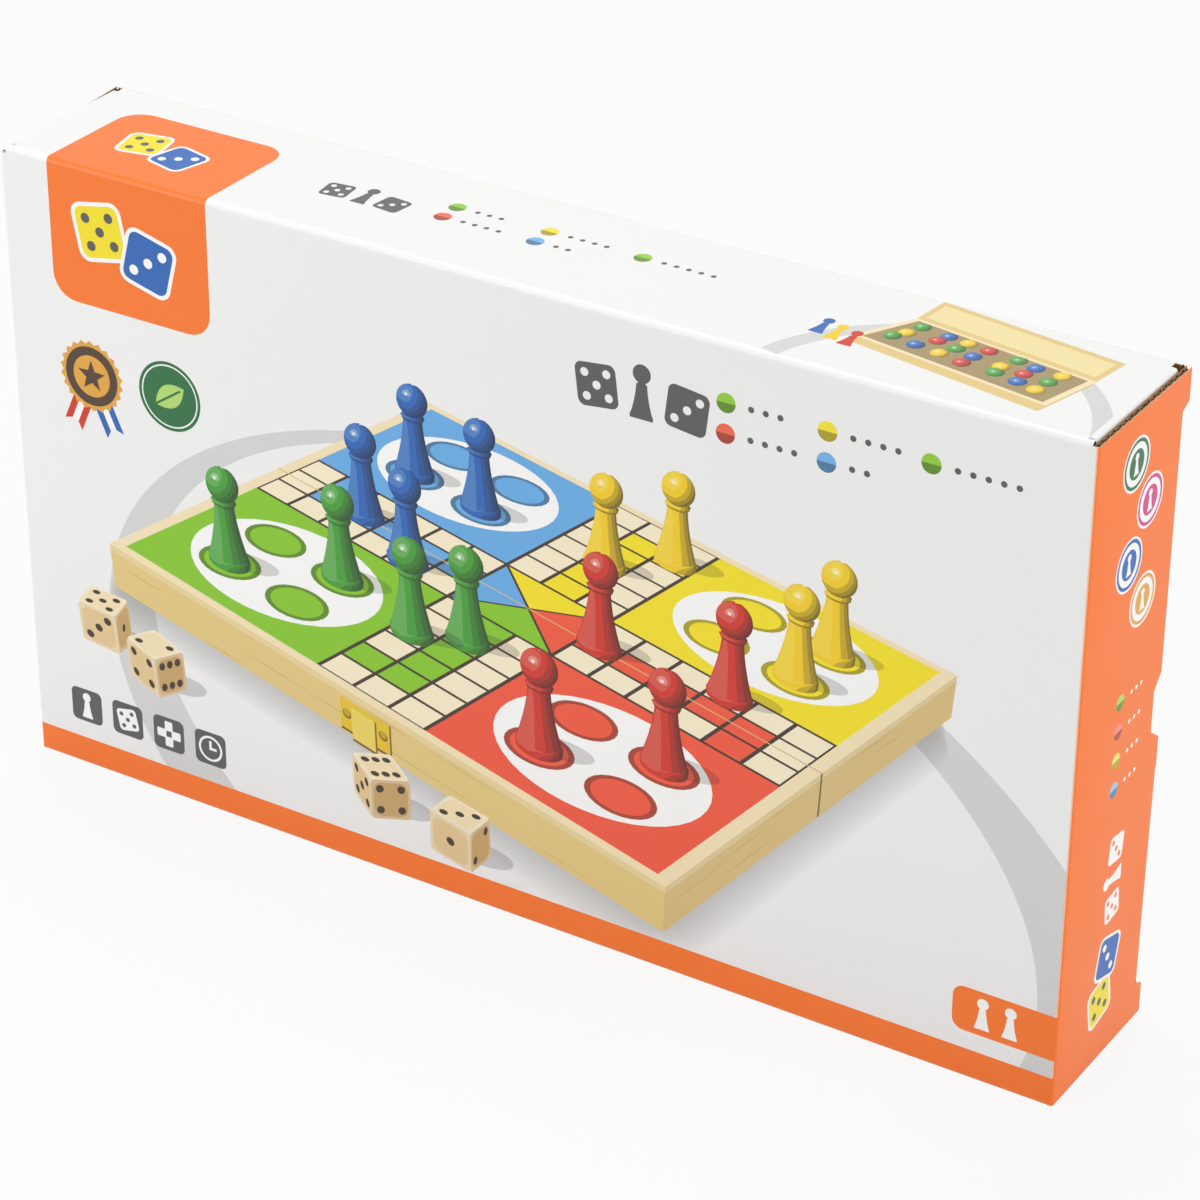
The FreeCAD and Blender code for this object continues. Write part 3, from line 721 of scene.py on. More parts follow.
# Its shadow, and on its sides the bevel, the streaks of grain, the seam and the fold line
SHADOW_REACH, SHADOW_STEP, SHADOW_CORNER = 26, 2, 12
SHADOW_LEFT, SHADOW_RIGHT, SHADOW_BACK = 0.2, 0.6, 0.5
BEVEL_SHARE, BEVEL_LIGHT = 0.14, 0.22
STREAKS, STREAK_SEED, STREAK_DARK = 9, 5, 0.1
STREAK_STARTS, STREAK_LENGTHS = (-0.98, 0.6), (0.15, 0.38)
STREAK_LEVELS, STREAK_RISES = (0.2, 0.95), (0.25, 0.6)
SEAM_HALF, SEAM_DARK = 0.006, 0.5
FOLD_LINE_HALF = 0.5

# Its clasp, as shares of its own half width and of the game's thickness.
# A screw is two discs, each with its level, radius and ink.
CLASP_HALF = 13
CLASP_PLATE_SHARES, CLASP_LEAF_SHARES = (-1, -0.9, 1, -0.22), (-0.55, -1.04, 0.4, -0.34)
CLASP_RIM_LOW, CLASP_RIM_RIGHT = 0.06, 0.9
CLASP_LEAF_LIGHT = 0.3
SCREW_SHARE = 0.74
SCREW_DISCS = ((-0.55, 2.3, DARK_BRASS_INK), (-0.53, 1.7, mixed(BRASS_INK, BLACK, 0.15)))

# Pawns by player, in squares of the player's own quarter, and dice by place, spin and pips that show
PAWN_PLACES = (
    ((1.95, 1.95), (4.05, 4.05), (6.5, 3.5), (7.5, 4.5)),
    ((1.95, 4.05), (4.05, 1.95), (8.5, 2.5), (7.5, 5.5)),
    ((1.95, 1.95), (1.95, 4.05), (6.5, 1.5), (7.5, 3.5)),
    ((4.05, 4.05), (4.05, 1.95), (8.5, 4.5), (7.5, 2.5)),
)
DICE = (
    (-118, -200, -12, (5, 3, 1)),
    (-82, -208, -38, (2, 4, 6)),
    (30, -192, -62, (6, 5, 4)),
    (68, -190, -25, (3, 1, 2)),
)


def field_spot(a, b):
    """Place on the game in its picture, from squares of the field."""
    wide = 2 * (GAME_HALF_X - GAME_MARGIN) / FIELD_SQUARES
    deep = 2 * (GAME_HALF_Y - GAME_MARGIN) / FIELD_SQUARES
    return GAME_MARGIN - GAME_HALF_X + a * wide, GAME_MARGIN - GAME_HALF_Y + b * deep


def game_shadow(sheet, view):
    """Soft shadow on the ground, in thin bands that reach further in front of the game than beside it."""
    for spread in range(SHADOW_REACH, 0, -SHADOW_STEP):
        near = (-GAME_HALF_X - SHADOW_LEFT * spread, -GAME_HALF_Y - spread)
        far = (GAME_HALF_X + SHADOW_RIGHT * spread, GAME_HALF_Y - SHADOW_BACK * spread)
        edge = box(*near, *far, SHADOW_CORNER + spread)
        sheet.lay([view.spot(x, y, -GAME_THICK) for x, y in edge], SOFT_SHADE)


def game_sides(sheet, view):
    """The two sides of the wooden game that show, with streaks of grain and the seam between its halves."""
    draw = random.Random(STREAK_SEED)
    near_left = (lambda along, level: view.spot(along * GAME_HALF_X, -GAME_HALF_Y, level), WOOD_SIDE)
    near_right = (lambda along, level: view.spot(GAME_HALF_X, along * GAME_HALF_Y, level), WOOD_SHADE)
    for side, tone in (near_left, near_right):
        for height, light in ((GAME_THICK, 0), (BEVEL_SHARE * GAME_THICK, BEVEL_LIGHT)):
            sheet.lay([side(*corner) for corner in box(-1, -height, 1, 0)], mixed(tone, WHITE, light))
        for _ in range(STREAKS):
            start = draw.uniform(*STREAK_STARTS)
            end = start + draw.uniform(*STREAK_LENGTHS)
            level = -GAME_THICK * draw.uniform(*STREAK_LEVELS)
            rise = draw.uniform(*STREAK_RISES)
            middle = (start + end) / 2
            streak = ((start, level), (middle, level - rise), (end, level), (middle, level + rise))
            sheet.lay([side(*point) for point in streak], mixed(tone, DARK_GOLD, STREAK_DARK))
    seam = box(-SEAM_HALF, -GAME_THICK, SEAM_HALF, 0)
    sheet.lay([near_right[0](*corner) for corner in seam], mixed(WOOD_SHADE, BLACK, SEAM_DARK))


def clasp_picture(sheet, view):
    """Brass clasp on the near side: a plate with two screws, and its leaf."""
    def lay(outline, tone):
        sheet.lay([view.spot(x, -GAME_HALF_Y, level * GAME_THICK) for x, level in outline], tone)

    def lay_metal(shares, tone):
        left, low, right, high = shares
        left, right = left * CLASP_HALF, right * CLASP_HALF
        lay(box(left, low - CLASP_RIM_LOW, right + CLASP_RIM_RIGHT, high), DARK_BRASS_INK)
        lay(box(left, low, right, high), tone)

    lay_metal(CLASP_PLATE_SHARES, BRASS_INK)
    for side in (-1, 1):
        for level, radius, tone in SCREW_DISCS:
            lay(circle(side * SCREW_SHARE * CLASP_HALF, level, radius, radius / GAME_THICK, PIP_STEPS), tone)
    lay_metal(CLASP_LEAF_SHARES, mixed(BRASS_INK, WHITE, CLASP_LEAF_LIGHT))


def game_picture(sheet, view):
    """The opened game: board, pawns standing on it and dice in front."""
    game_shadow(sheet, view)
    game_sides(sheet, view)
    sheet.lay([view.spot(x, y) for x, y in box(-GAME_HALF_X, -GAME_HALF_Y, GAME_HALF_X, GAME_HALF_Y)], WOOD)
    game_field(sheet, lambda a, b: view.spot(*field_spot(a, b)))
    fold_line = box(-GAME_HALF_X, -FOLD_LINE_HALF, GAME_HALF_X, FOLD_LINE_HALF)
    sheet.lay([view.spot(x, y) for x, y in fold_line], WOOD_STREAK)
    clasp_picture(sheet, view)
    pawns = []
    for quarter, (places, base) in enumerate(zip(PAWN_PLACES, PAWN_COLOURS)):
        for a, b in places:
            pawns.append((field_spot(*quarter_turned(a, b, quarter)), base))
    pawns.sort(key=lambda pawn: -view.swung(*pawn[0])[1])
    for place, base in pawns:
        pawn_picture(sheet, view, place, 0, PAWN_SIZE, base)
    for x, y, spin, counts in DICE:
        die_picture(sheet, view, (x, y), -GAME_THICK, DIE_SIZE, spin, counts)


# Small picture of the case with its lid up, on the top panel
CASE_VIEW = View(middle=(112, -3.5), scale=0.265, turn=-14, tilt=40, distance=900)
TRAY_X, TRAY_Y, TRAY_TALL, TRAY_RAIL = 100, 50, 16, 6
LID_LEAN = 22
LID_TALL = 56
LID_RIM = (3, 6)
TRAY_DARK = 0.25
TRAY_ROWS, TRAY_COLUMNS = (26, 2, -24), range(-78, 79, 26)
TRAY_STRAY, TRAY_SEED = (5, 4), 11
TRAY_PAWN_DROP, TRAY_PAWN_SIZE, TRAY_COLOUR_STEP = 20, 1.15, 3


def case_picture(sheet, view):
    """Open wooden case with pawns in its tray."""
    def lay(corners, tone):
        sheet.lay([view.spot(*corner) for corner in corners], tone)

    def lid(half, lean, rise):
        low, high = (TRAY_Y + lean, TRAY_TALL + rise), (TRAY_Y + LID_LEAN - lean, LID_TALL - rise)
        return (-half, *low), (half, *low), (half, *high), (-half, *high)

    def wall(start, end):
        return (*start, 0), (*end, 0), (*end, TRAY_TALL), (*start, TRAY_TALL)

    def rim(x, y):
        return [(*corner, TRAY_TALL) for corner in box(-x, -y, x, y)]

    inner = TRAY_X - TRAY_RAIL
    lay(lid(TRAY_X, 0, 0), WOOD_SIDE)
    lay(lid(inner, *LID_RIM), LID_INSIDE)
    lay(wall((-TRAY_X, -TRAY_Y), (TRAY_X, -TRAY_Y)), WOOD_SIDE)
    lay(wall((TRAY_X, -TRAY_Y), (TRAY_X, TRAY_Y)), WOOD_SHADE)
    lay(rim(TRAY_X, TRAY_Y), WOOD)
    lay(rim(inner, TRAY_Y - TRAY_RAIL), mixed(WOOD_SHADE, BLACK, TRAY_DARK))
    draw = random.Random(TRAY_SEED)
    spots = [(x, y) for y in TRAY_ROWS for x in TRAY_COLUMNS]
    for i, spot in enumerate(spots):
        place = [middle + draw.uniform(-stray, stray) for middle, stray in zip(spot, TRAY_STRAY)]
        base = PAWN_COLOURS[(i * TRAY_COLOUR_STEP + i // len(TRAY_COLUMNS)) % len(PAWN_COLOURS)]
        turned_form(sheet, view, place, -TRAY_PAWN_DROP, pawn_ball(), TRAY_PAWN_SIZE, base)


# The carton's sleeve: back, top, front and bottom panels in one strip


class Path:
    """Line of straight runs and bends to the left, in a plane. The board lies on its left."""

    def __init__(self, start, heading):
        self.place = complex(*start)
        self.heading = math.radians(heading)
        self.length = 0.0
        self.runs = []

    def run(self, length, radius=0.0):
        """Goes on straight, or bent at a radius."""
        self.runs.append((self.length, radius, self.place, self.heading))
        self.place, self.heading = self.along(self.runs[-1], length)
        self.length += length
        return self

    @staticmethod
    def along(run, distance):
        _, radius, place, heading = run
        if not radius:
            return place + distance * exp(1j * heading), heading
        centre = place + radius * exp(1j * (heading + QUARTER))
        heading += distance / radius
        return centre + radius * exp(1j * (heading - QUARTER)), heading

    def at(self, distance, depth=0.0):
        """Place at a distance along the line, and at a depth within the board."""
        run = [run for run in self.runs if run[0] <= max(distance, 0)][-1]
        place, heading = self.along(run, distance - run[0])
        place += depth * exp(1j * (heading + QUARTER))
        return place.real, place.imag

    def stations(self):
        """Distances at which the sheet is cut so that its bends come out round and its runs flat."""
        found = []
        for i, (start, radius, *_) in enumerate(self.runs):
            end = self.runs[i + 1][0] if i + 1 < len(self.runs) else self.length
            if not radius:
                continue
            count = max(2, math.ceil((end - start) / radius / BEND_STEP))
            found += [start + (end - start) * step / count for step in range(count + 1)]
            found += [start - GUARD, end + GUARD]
        return found


BEND = FOLD * QUARTER
SLEEVE = (
    Path((HALF_DEPTH, 0), heading=90).run(HEIGHT - FOLD).run(BEND, FOLD).run(2 * (HALF_DEPTH - FOLD))
    .run(BEND, FOLD).run(HEIGHT - 2 * FOLD).run(BEND, FOLD).run(SEAM + HALF_DEPTH - FOLD)
)
TOP_BACK, TOP_FRONT, FRONT_TOP, FRONT_LOW, BOTTOM_FRONT = [run[0] for run in SLEEVE.runs[2:]]


def on_front(x, z):
    return x, FRONT_TOP + HEIGHT - FOLD - z


def on_top(x, y):
    return x, TOP_BACK + HALF_DEPTH - FOLD - y


def on_back(across, z):
    """Place on the back, seen from behind."""
    return -across, z


def sleeve_outline():
    """The strip's outline: each panel ends where its own flap begins, and the back has finger notches."""
    notch = BACK_END - THUMB_REACH
    corner = box(notch, TONGUE_NOTCH_LOW, BACK_END, THUMB_HIGH, THUMB_CORNER, (1, 0, 0, 1))
    low_round, high_round = corner[CORNER_STEPS::-1], corner[:-CORNER_STEPS - 2:-1]
    bite = [(BACK_END, TONGUE_NOTCH_LOW), *low_round, *high_round, (BACK_END, THUMB_HIGH)]
    step = BOARD - FOLD
    right = [(BACK_END, 0), *bite]
    levels = (TOP_BACK - step, TOP_FRONT + step, BOTTOM_FRONT - step)
    ends = (BACK_END, TOP_END, FRONT_END, TOP_END)
    for level, before, after in zip(levels, ends, ends[1:]):
        right += [(before, level), (after, level)]
    right.append((TOP_END, SLEEVE.length))
    left = [(-u, v) for u, v in reversed(right)]
    return right + left


# Orange band along the bottom, patch over the top fold and label at the right edge
BAND_TALL = 8.8
BAND_END_SHARE = 0.6
PATCH_LEFT, PATCH_RIGHT, PATCH_LOW = -140, -90, 141.5
PATCH_BACK = 12
PATCH_CORNER = 7
PATCH_FRONT_DICE = (((-124, 163), (-109, 158)), 14)
PATCH_TOP_DICE = (((-124, -4), (-111, -7)), 11)
LABEL_LEFT, LABEL_LOW, LABEL_HIGH, LABEL_CORNER = 126.8, 13.9, 26.6, 3.2
LABEL_PAWNS, LABEL_PAWN_LIFT, LABEL_PAWN_TALL = (135, 142.5), 1.8, 9

# Grey ring: middle and half widths of its two ellipses
RING_OUTSIDE = (24.4, 34.3, 154.2, 94.4)
RING_INSIDE = (18.1, 44, 132.8, 82.2)
RING_TILT = math.radians(-11.6)

# Rosette with ribbons, and seal with a leaf
ROSETTE, ROSETTE_RIM, ROSETTE_STAR = (-129.5, 121), (10.2, 9.2, 22), (4.6, 1.9, 5)
ROSETTE_DISCS = ((8.4, DARK_GOLD), (5.9, GOLD))
RIBBON, RIBBON_STRIPE = (3, 17), (1, 15.4)
RIBBON_FORK, RIBBON_LEAN = 14.5, 0.42
SEAL = (-104.2, 122)
SEAL_DISCS = ((9.8, SEAL_GREEN), (8.9, WHITE), (8.5, SEAL_GREEN))
LEAF, LEAF_LEAN, LEAF_PALE = (5.6, 3.2), 0.6, 0.35
STEM_START, STEM_END, STEM_HALF = -6.4, 4.2, 0.3

# Dark tiles: middle of the first, their pitch and size, and what is on them
ICONS, ICON_PITCH, ICON_SIZE, ICON_CORNER = (-138.2, 19.1), 13.9, 10.2, 1.7
ICON_MARK = 3.9
ICON_DIE = (6.6, 5, WHITE, DARK, 0.2)
CROSS_ARM, CROSS_CORNER, CROSS_MIDDLE = 1.3, 0.4, 0.9
CLOCK_DISCS = ((ICON_MARK, WHITE), (3.2, DARK))
HAND_HALF, LONG_HAND, SHORT_HAND = 0.4, 2.4, 2.0

# The game's sign, as shares of its height
SIGN_DIE, SIGN_RISE, SIGN_PITCH = 0.84, 0.42, 0.92
SIGN_PAWN, SIGN_LEAN = 1.06, 0.12
SIGN_COUNTS = (5, 3)

# Small discs, each by column, row and number of dots. The dots are shares of the disc's radius.
DISC_PLACES = ((0, 0, 3), (0, -1, 4), (1, 0, 4), (1, -1, 2), (2, -0.1, 5))
DISC_LIGHT, DISC_DARK = 0.1, 0.3
DOT_START, DOT_PITCH, DOT_RADIUS = 2.6, 1.5, 0.32

# Signs and discs on the panels: place, then height, or pitch, rise and radius
FRONT_SIGN, FRONT_DISCS = (24.5, 154, 13.6), (60, 164.6, 27, 8, 2.6)
TOP_SIGN, TOP_DISCS = (-66, -5, 9), (-35, 6.2, 27, 6.6, 2.3)
BACK_DISCS = (40, 40, 32, 9, 3)

# Grey arc and pawns on the top, field and rows of pawns and dice on the back
TOP_ARC = (112, -34, (46, 47), (41, 43), math.radians(15), math.radians(165))
TOP_PAWNS, TOP_PAWN_STEP, TOP_PAWN_TALL = (74, -8), (4.4, -1.2), 8.5
BACK_FIELD, BACK_FIELD_SIDE = (-136, 24), 138
BACK_FIELD_RIM, BACK_FIELD_CORNER = 4, 2
BACK_ROW, BACK_PITCH = 38, 26
BACK_PAWN_LEVEL, BACK_PAWN_TALL = 104, 40
BACK_DIE_LEVEL, BACK_DIE_SIZE, BACK_DIE_LEAN, BACK_DIE_TURN = 68, 19, 0.25, 0.17


def corner_patch(front, top):
    """Orange patch over the top fold, with a pair of dice on each face."""
    low_corners = box(PATCH_LEFT, PATCH_LOW, PATCH_RIGHT, HEIGHT, PATCH_CORNER, (1, 1, 0, 0))
    front_half = [point for point in low_corners if point[1] < HEIGHT]
    high_corners = box(PATCH_LEFT, 0, PATCH_RIGHT, PATCH_BACK, PATCH_CORNER, (0, 0, 1, 1))
    top_half = [point for point in high_corners if point[1] > 0]
    outline = [front.place(*point) for point in front_half] + [top.place(*point) for point in top_half]
    front.prints.append((outline, ORANGE))
    dice_pair(front, *PATCH_FRONT_DICE)
    dice_pair(top, *PATCH_TOP_DICE)


def seals(front):
    """Gold rosette with ribbons, and a round green seal with a leaf."""
    x, y = ROSETTE
    for lean, tone in ((-RIBBON_LEAN, PAWN_RED), (RIBBON_LEAN, PAWN_BLUE)):
        for (half, length), base in ((RIBBON, tone), (RIBBON_STRIPE, WHITE)):
            fork = ((x + half, y - length), (x, y - RIBBON_FORK), (x - half, y - length))
            front.lay(turned(((x - half, y), (x + half, y), *fork), x, y, lean), base)
    front.lay(star(x, y, *ROSETTE_RIM), GOLD)
    front.lay_discs(x, y, ROSETTE_DISCS)
    front.lay(star(x, y, *ROSETTE_STAR), DARK_GOLD)
    x, y = SEAL
    front.lay_discs(x, y, SEAL_DISCS)
    front.lay(turned(arc_leaf(x, y, *LEAF), x, y, LEAF_LEAN), mixed(GREEN, WHITE, LEAF_PALE))
    stem = box(x + STEM_START, y - STEM_HALF, x + STEM_END, y + STEM_HALF)
    front.lay(turned(stem, x, y, LEAF_LEAN), SEAL_GREEN)


def arc_leaf(x, y, half, bulge):
    """Pointed leaf along the level line."""
    shares = [i / CORNER_STEPS - 1 for i in range(2 * CORNER_STEPS)]
    upper = [(x + half * share, y + bulge * (1 - share * share)) for share in shares]
    return upper + [(2 * x - a, 2 * y - b) for a, b in upper]


def icons(front):
    """Four dark tiles: a pawn, a die, the field's cross and a clock."""
    pawn, die, cross, clock = [(ICONS[0] + ICON_PITCH * i, ICONS[1]) for i in range(4)]
    for centre in (pawn, die, cross, clock):
        front.lay(square(*centre, ICON_SIZE / 2, ICON_CORNER), DARK)
    front.lay(pawn_outline(pawn[0], pawn[1] - ICON_MARK, 2 * ICON_MARK), WHITE)
    die_face(front, *die, *ICON_DIE)
    x, y = cross
    for across, up in ((ICON_MARK, CROSS_ARM), (CROSS_ARM, ICON_MARK)):
        front.lay(box(x - across, y - up, x + across, y + up, CROSS_CORNER), WHITE)
    front.lay(square(x, y, CROSS_MIDDLE), DARK)
    x, y = clock
    front.lay_discs(x, y, CLOCK_DISCS)
    for across, up in ((HAND_HALF, LONG_HAND), (SHORT_HAND, HAND_HALF)):
        front.lay(box(x - HAND_HALF, y - HAND_HALF, x + across, y + up), WHITE)


def game_sign(sheet, x, y, tall, base, pip):
    """Large sign of the game: a pawn between two plain dice."""
    step, level, size = SIGN_PITCH * tall, y + SIGN_RISE * tall, SIGN_DIE * tall
    first, second = SIGN_COUNTS
    die_face(sheet, x, level, size, first, base, pip, SIGN_LEAN)
    sheet.lay(pawn_outline(x + step, y, SIGN_PAWN * tall), base)
    die_face(sheet, x + 2 * step, level, size, second, base, pip, -SIGN_LEAN)


def disc_rows(sheet, x, y, pitch, rise, radius):
    """Small two-tone discs in two rows, each with a few dark dots after it."""
    for i, (column, row, dots) in enumerate(DISC_PLACES):
        across, level = x + column * pitch, y + row * rise
        base = FIELD_COLOURS[i % len(FIELD_COLOURS)]
        tones = (mixed(base, WHITE, DISC_LIGHT), mixed(base, BLACK, DISC_DARK))
        two_tone_disc(sheet, across, level, radius, *tones)
        for dot in range(dots):
            place = across + radius * (DOT_START + DOT_PITCH * dot)
            sheet.lay(circle(place, level, DOT_RADIUS * radius, count=DOT_STEPS), DARK)


def pawn_label(front):
    """Orange label at the right edge, with two pawns."""
    front.lay(box(LABEL_LEFT, LABEL_LOW, FRONT_END + 1, LABEL_HIGH, LABEL_CORNER, (1, 0, 0, 1)), ORANGE)
    for x in LABEL_PAWNS:
        front.lay(pawn_outline(x, LABEL_LOW + LABEL_PAWN_LIFT, LABEL_PAWN_TALL), WHITE)


def print_ring(front):
    """Wide grey ring behind the picture."""
    for (x, y, wide, tall), base in ((RING_OUTSIDE, RING_GREY), (RING_INSIDE, CARD)):
        front.lay(turned(circle(x, y, wide, tall, 3 * CURVE_STEPS), x, y, RING_TILT), base)


def print_front(front, top):
    print_ring(front)
    game_picture(front, PICTURE_VIEW)
    corner_patch(front, top)
    seals(front)
    icons(front)
    game_sign(front, *FRONT_SIGN, DARK, CARD)
    disc_rows(front, *FRONT_DISCS)
    pawn_label(front)


def print_top(top):
    top.lay(arc_band(*TOP_ARC), RING_GREY)
    game_sign(top, *TOP_SIGN, DARK, CARD)
    disc_rows(top, *TOP_DISCS)
    case_picture(top, CASE_VIEW)
    for i, base in enumerate((PAWN_BLUE, PAWN_YELLOW, PAWN_RED)):
        place = [start + step * i for start, step in zip(TOP_PAWNS, TOP_PAWN_STEP)]
        top.lay(pawn_outline(*place, TOP_PAWN_TALL), base)


def print_back(back):
    """Orange band, the whole field on wood, and a row of pawns over a row of dice."""
    back.lay(box(-FRONT_END, 0, FRONT_END, BAND_TALL), ORANGE)
    side, half = BACK_FIELD_SIDE, BACK_FIELD_SIDE / 2
    left, low = BACK_FIELD
    back.lay(square(left + half, low + half, half + BACK_FIELD_RIM, BACK_FIELD_CORNER), WOOD)
    game_field(back, lambda a, b: (left + a * side / FIELD_SQUARES, low + b * side / FIELD_SQUARES))
    for i, base in enumerate(PAWN_COLOURS):
        x = BACK_ROW + BACK_PITCH * i
        back.lay(pawn_outline(x, BACK_PAWN_LEVEL, BACK_PAWN_TALL), base)
        lean = BACK_DIE_LEAN - BACK_DIE_TURN * i
        die_face(back, x, BACK_DIE_LEVEL, BACK_DIE_SIZE, i + 2, WOOD_SIDE, LINE, lean)
    disc_rows(back, *BACK_DISCS)


def sleeve_fold(u, v, depth):
    return u, *SLEEVE.at(v, depth)


def sleeve_runs():
    """Raw edges of the seam under the back."""
    yield sleeve_fold, (-BACK_END, 0), (BACK_END, 0)
    yield sleeve_fold, (TOP_END, SLEEVE.length), (-TOP_END, SLEEVE.length)


def sleeve():
    """The printed strip, folded round the carton."""
    front, top, back = Sheet(on_front), Sheet(on_top), Sheet(on_back)
    print_front(front, top)
    print_top(top)
    print_back(back)
    base = Sheet(lambda u, v: (u, v))
    band_end = FRONT_LOW + BAND_END_SHARE * BEND
    base.lay(box(-FRONT_END - 1, on_front(0, BAND_TALL)[1], FRONT_END + 1, band_end), ORANGE)
    prints = front.prints + top.prints + back.prints + base.prints
    creases = [((-FRONT_END - 1, level), (FRONT_END + 1, level)) for level in SLEEVE.stations()]
    return folded_piece("carton_sleeve", [sleeve_outline()], prints, creases, sleeve_fold, CARD,
                        core=inside_liner())


# Cutting and folding


def inside(points, loops):
    """Which points lie within the loops. A loop inside another is a hole."""
    odd = np.zeros(len(points), bool)
    x, y = points[:, 0], points[:, 1]
    for loop in loops:
        for (x0, y0), (x1, y1) in zip(loop, [*loop[1:], loop[0]]):
            if y0 != y1:
                odd ^= ((y0 > y) != (y1 > y)) & (x < (x1 - x0) * (y - y0) / (y1 - y0) + x0)
    return odd


def triangulated(loops, lines, outline):
    """Points and triangles of a flat sheet that is cut along loops and lines."""
    points, edges = [], []
    for loop in loops:
        start, count = len(points), len(loop)
        points += loop
        edges += [(start + i, start + (i + 1) % count) for i in range(count)]
    for line in lines:
        edges.append((len(points), len(points) + 1))
        points += line
    flat, _, triangles, *_ = delaunay_2d_cdt([Vector(point) for point in points], edges, [], 0, MERGE, False)
    flat = np.array([point[:] for point in flat])
    triangles = np.array(triangles)
    kept = inside(flat[triangles].mean(axis=1), outline)
    return flat, triangles[kept]


def inked(flat, triangles, prints, ground):
    """The ink on each triangle: the last print laid over it."""
    middles = flat[triangles].mean(axis=1)
    paints = [ground] * len(triangles)
    for outline, base in prints:
        corners = np.array(outline)
        near = np.flatnonzero(((middles >= corners.min(0)) & (middles <= corners.max(0))).all(1))
        for i in near[inside(middles[near], [outline])]:
            paints[i] = base if isinstance(base, tuple) else mixed(BLACK, paints[i], base)
    return paints


def border(triangles):
    """Edges that only one triangle has."""
    directed = {(a, b) for t in triangles for a, b in zip(t, (*t[1:], t[0]))}
    return [(a, b) for a, b in directed if (b, a) not in directed]


def inset_points(flat, rim):
    """Each point of a sheet's rim, moved in square to the edges that meet there."""
    normals = {}
    for a, b in rim:
        along = flat[b] - flat[a]
        for i in (a, b):
            normals.setdefault(i, []).append(np.array((-along[1], along[0])) / np.hypot(*along))
    inset = {}
    for i, pair in normals.items():
        first, last = pair[0], pair[-1]
        inset[i] = flat[i] + GROOVE * (first + last) / (1 + first @ last)
    return inset


def raw_edge(flat, rim, core):
    """Edge of corrugated board, from the outer liner over a groove to the inner liner.

    Gives its lines, each of points and a share of the thickness, and the looks between them.
    """
    inset = inset_points(flat, rim)
    low, high = LINER_SHARES
    lines = ((flat, 0), (flat, low), (inset, low), (inset, high), (flat, high), (flat, 1))
    brown = inside_liner()
    return lines, (kraft(LINER, "outer_liner"), brown, core, brown, brown)


def folded_piece(name, outline, prints, creases, fold, ground, nose=None, thickness=BOARD,
                 edge=None, back=None, core=None, cap=None):
    """Closed sheet: printed outside, plain inside, and round at its hinge if it has a nose.

    Its edge is one plain look, or without that the raw edge of corrugated board, whose groove floor is
    painted shade unless another look is given.
    """
    flat, triangles = triangulated([*outline, *(shape for shape, _ in prints)], creases, outline)
    paints = inked(flat, triangles, prints, ground)
    triangles = triangles.tolist()
    vertices, faces, looks = [], [], []
    places = {}

    def vertex(point, depth):
        key = (round(point[0], KEY_DIGITS), round(point[1], KEY_DIGITS), depth)
        if key not in places:
            places[key] = len(vertices)
            vertices.append(Vector(fold(point[0], point[1], depth)))
        return places[key]

    for corners, base in zip(triangles, paints):
        faces.append([vertex(flat[i], 0) for i in corners])
        looks.append(ink(base))
    rim = sorted(border(triangles))
    rim_lines = [(tuple(flat[a]), tuple(flat[b])) for a, b in rim]
    inner_flat, inner = triangulated([], rim_lines + creases, outline)
    for corners in inner:
        faces.append([vertex(inner_flat[i], thickness) for i in reversed(corners)])
        looks.append(back or inside_liner())
    # Without another look, the groove floor is painted shade: dark brown for the shadow between the flutes
    core = core or kraft(GROOVE_SHADE, "raw_edge")
    lines, edge_looks = (((flat, 0), (flat, 1)), (edge,)) if edge else raw_edge(flat, rim, core)
    for ends in rim:
        if nose and max(flat[i][0] for i in ends) < WELD:
            outer, inner_edge = [[vertex(flat[i], depth) for i in ends] for depth in (0, thickness)]
            rounded_edge(vertices, faces, looks, outer, inner_edge, nose, ground)
            continue
        rows = [[vertex(points[i], share * thickness) for i in ends] for points, share in lines]
        for (a, b), (c, d), look in zip(rows, rows[1:], edge_looks):
            faces.append([b, a, c, d])
            looks.append(look)
    return made(name, vertices, faces, looks, edge or cap or core)


def rounded_edge(vertices, faces, looks, outer, inner_edge, nose, ground):
    """Half-round strip between the two sides of a sheet along its hinge."""
    rows = []
    for a, b in zip(outer, inner_edge):
        middle, arm = (vertices[a] + vertices[b]) / 2, (vertices[a] - vertices[b]) / 2
        row = [a]
        for step in range(1, NOSE_STEPS):
            angle = math.pi * step / NOSE_STEPS
            row.append(len(vertices))
            swell = Vector(nose) * arm.length * math.sin(angle) * NOSE_SHARE
            vertices.append(middle + arm * math.cos(angle) + swell)
        rows.append([*row, b])
    for i in range(NOSE_STEPS):
        faces.append([rows[1][i], rows[0][i], rows[0][i + 1], rows[1][i + 1]])
        looks.append(ink(ground) if i < NOSE_PRINTED else inside_liner())


def shape_tree(name, shapes, numbers):
    """Empty node tree with its inputs, and one output for what it makes."""
    tree = bpy.data.node_groups.new(name, "GeometryNodeTree")
    for words, kind in ((shapes, "NodeSocketGeometry"), (numbers, "NodeSocketFloat")):
        for word in words:
            tree.interface.new_socket(word, in_out="INPUT", socket_type=kind)
    tree.interface.new_socket("Geometry", in_out="OUTPUT", socket_type="NodeSocketGeometry")
    return tree


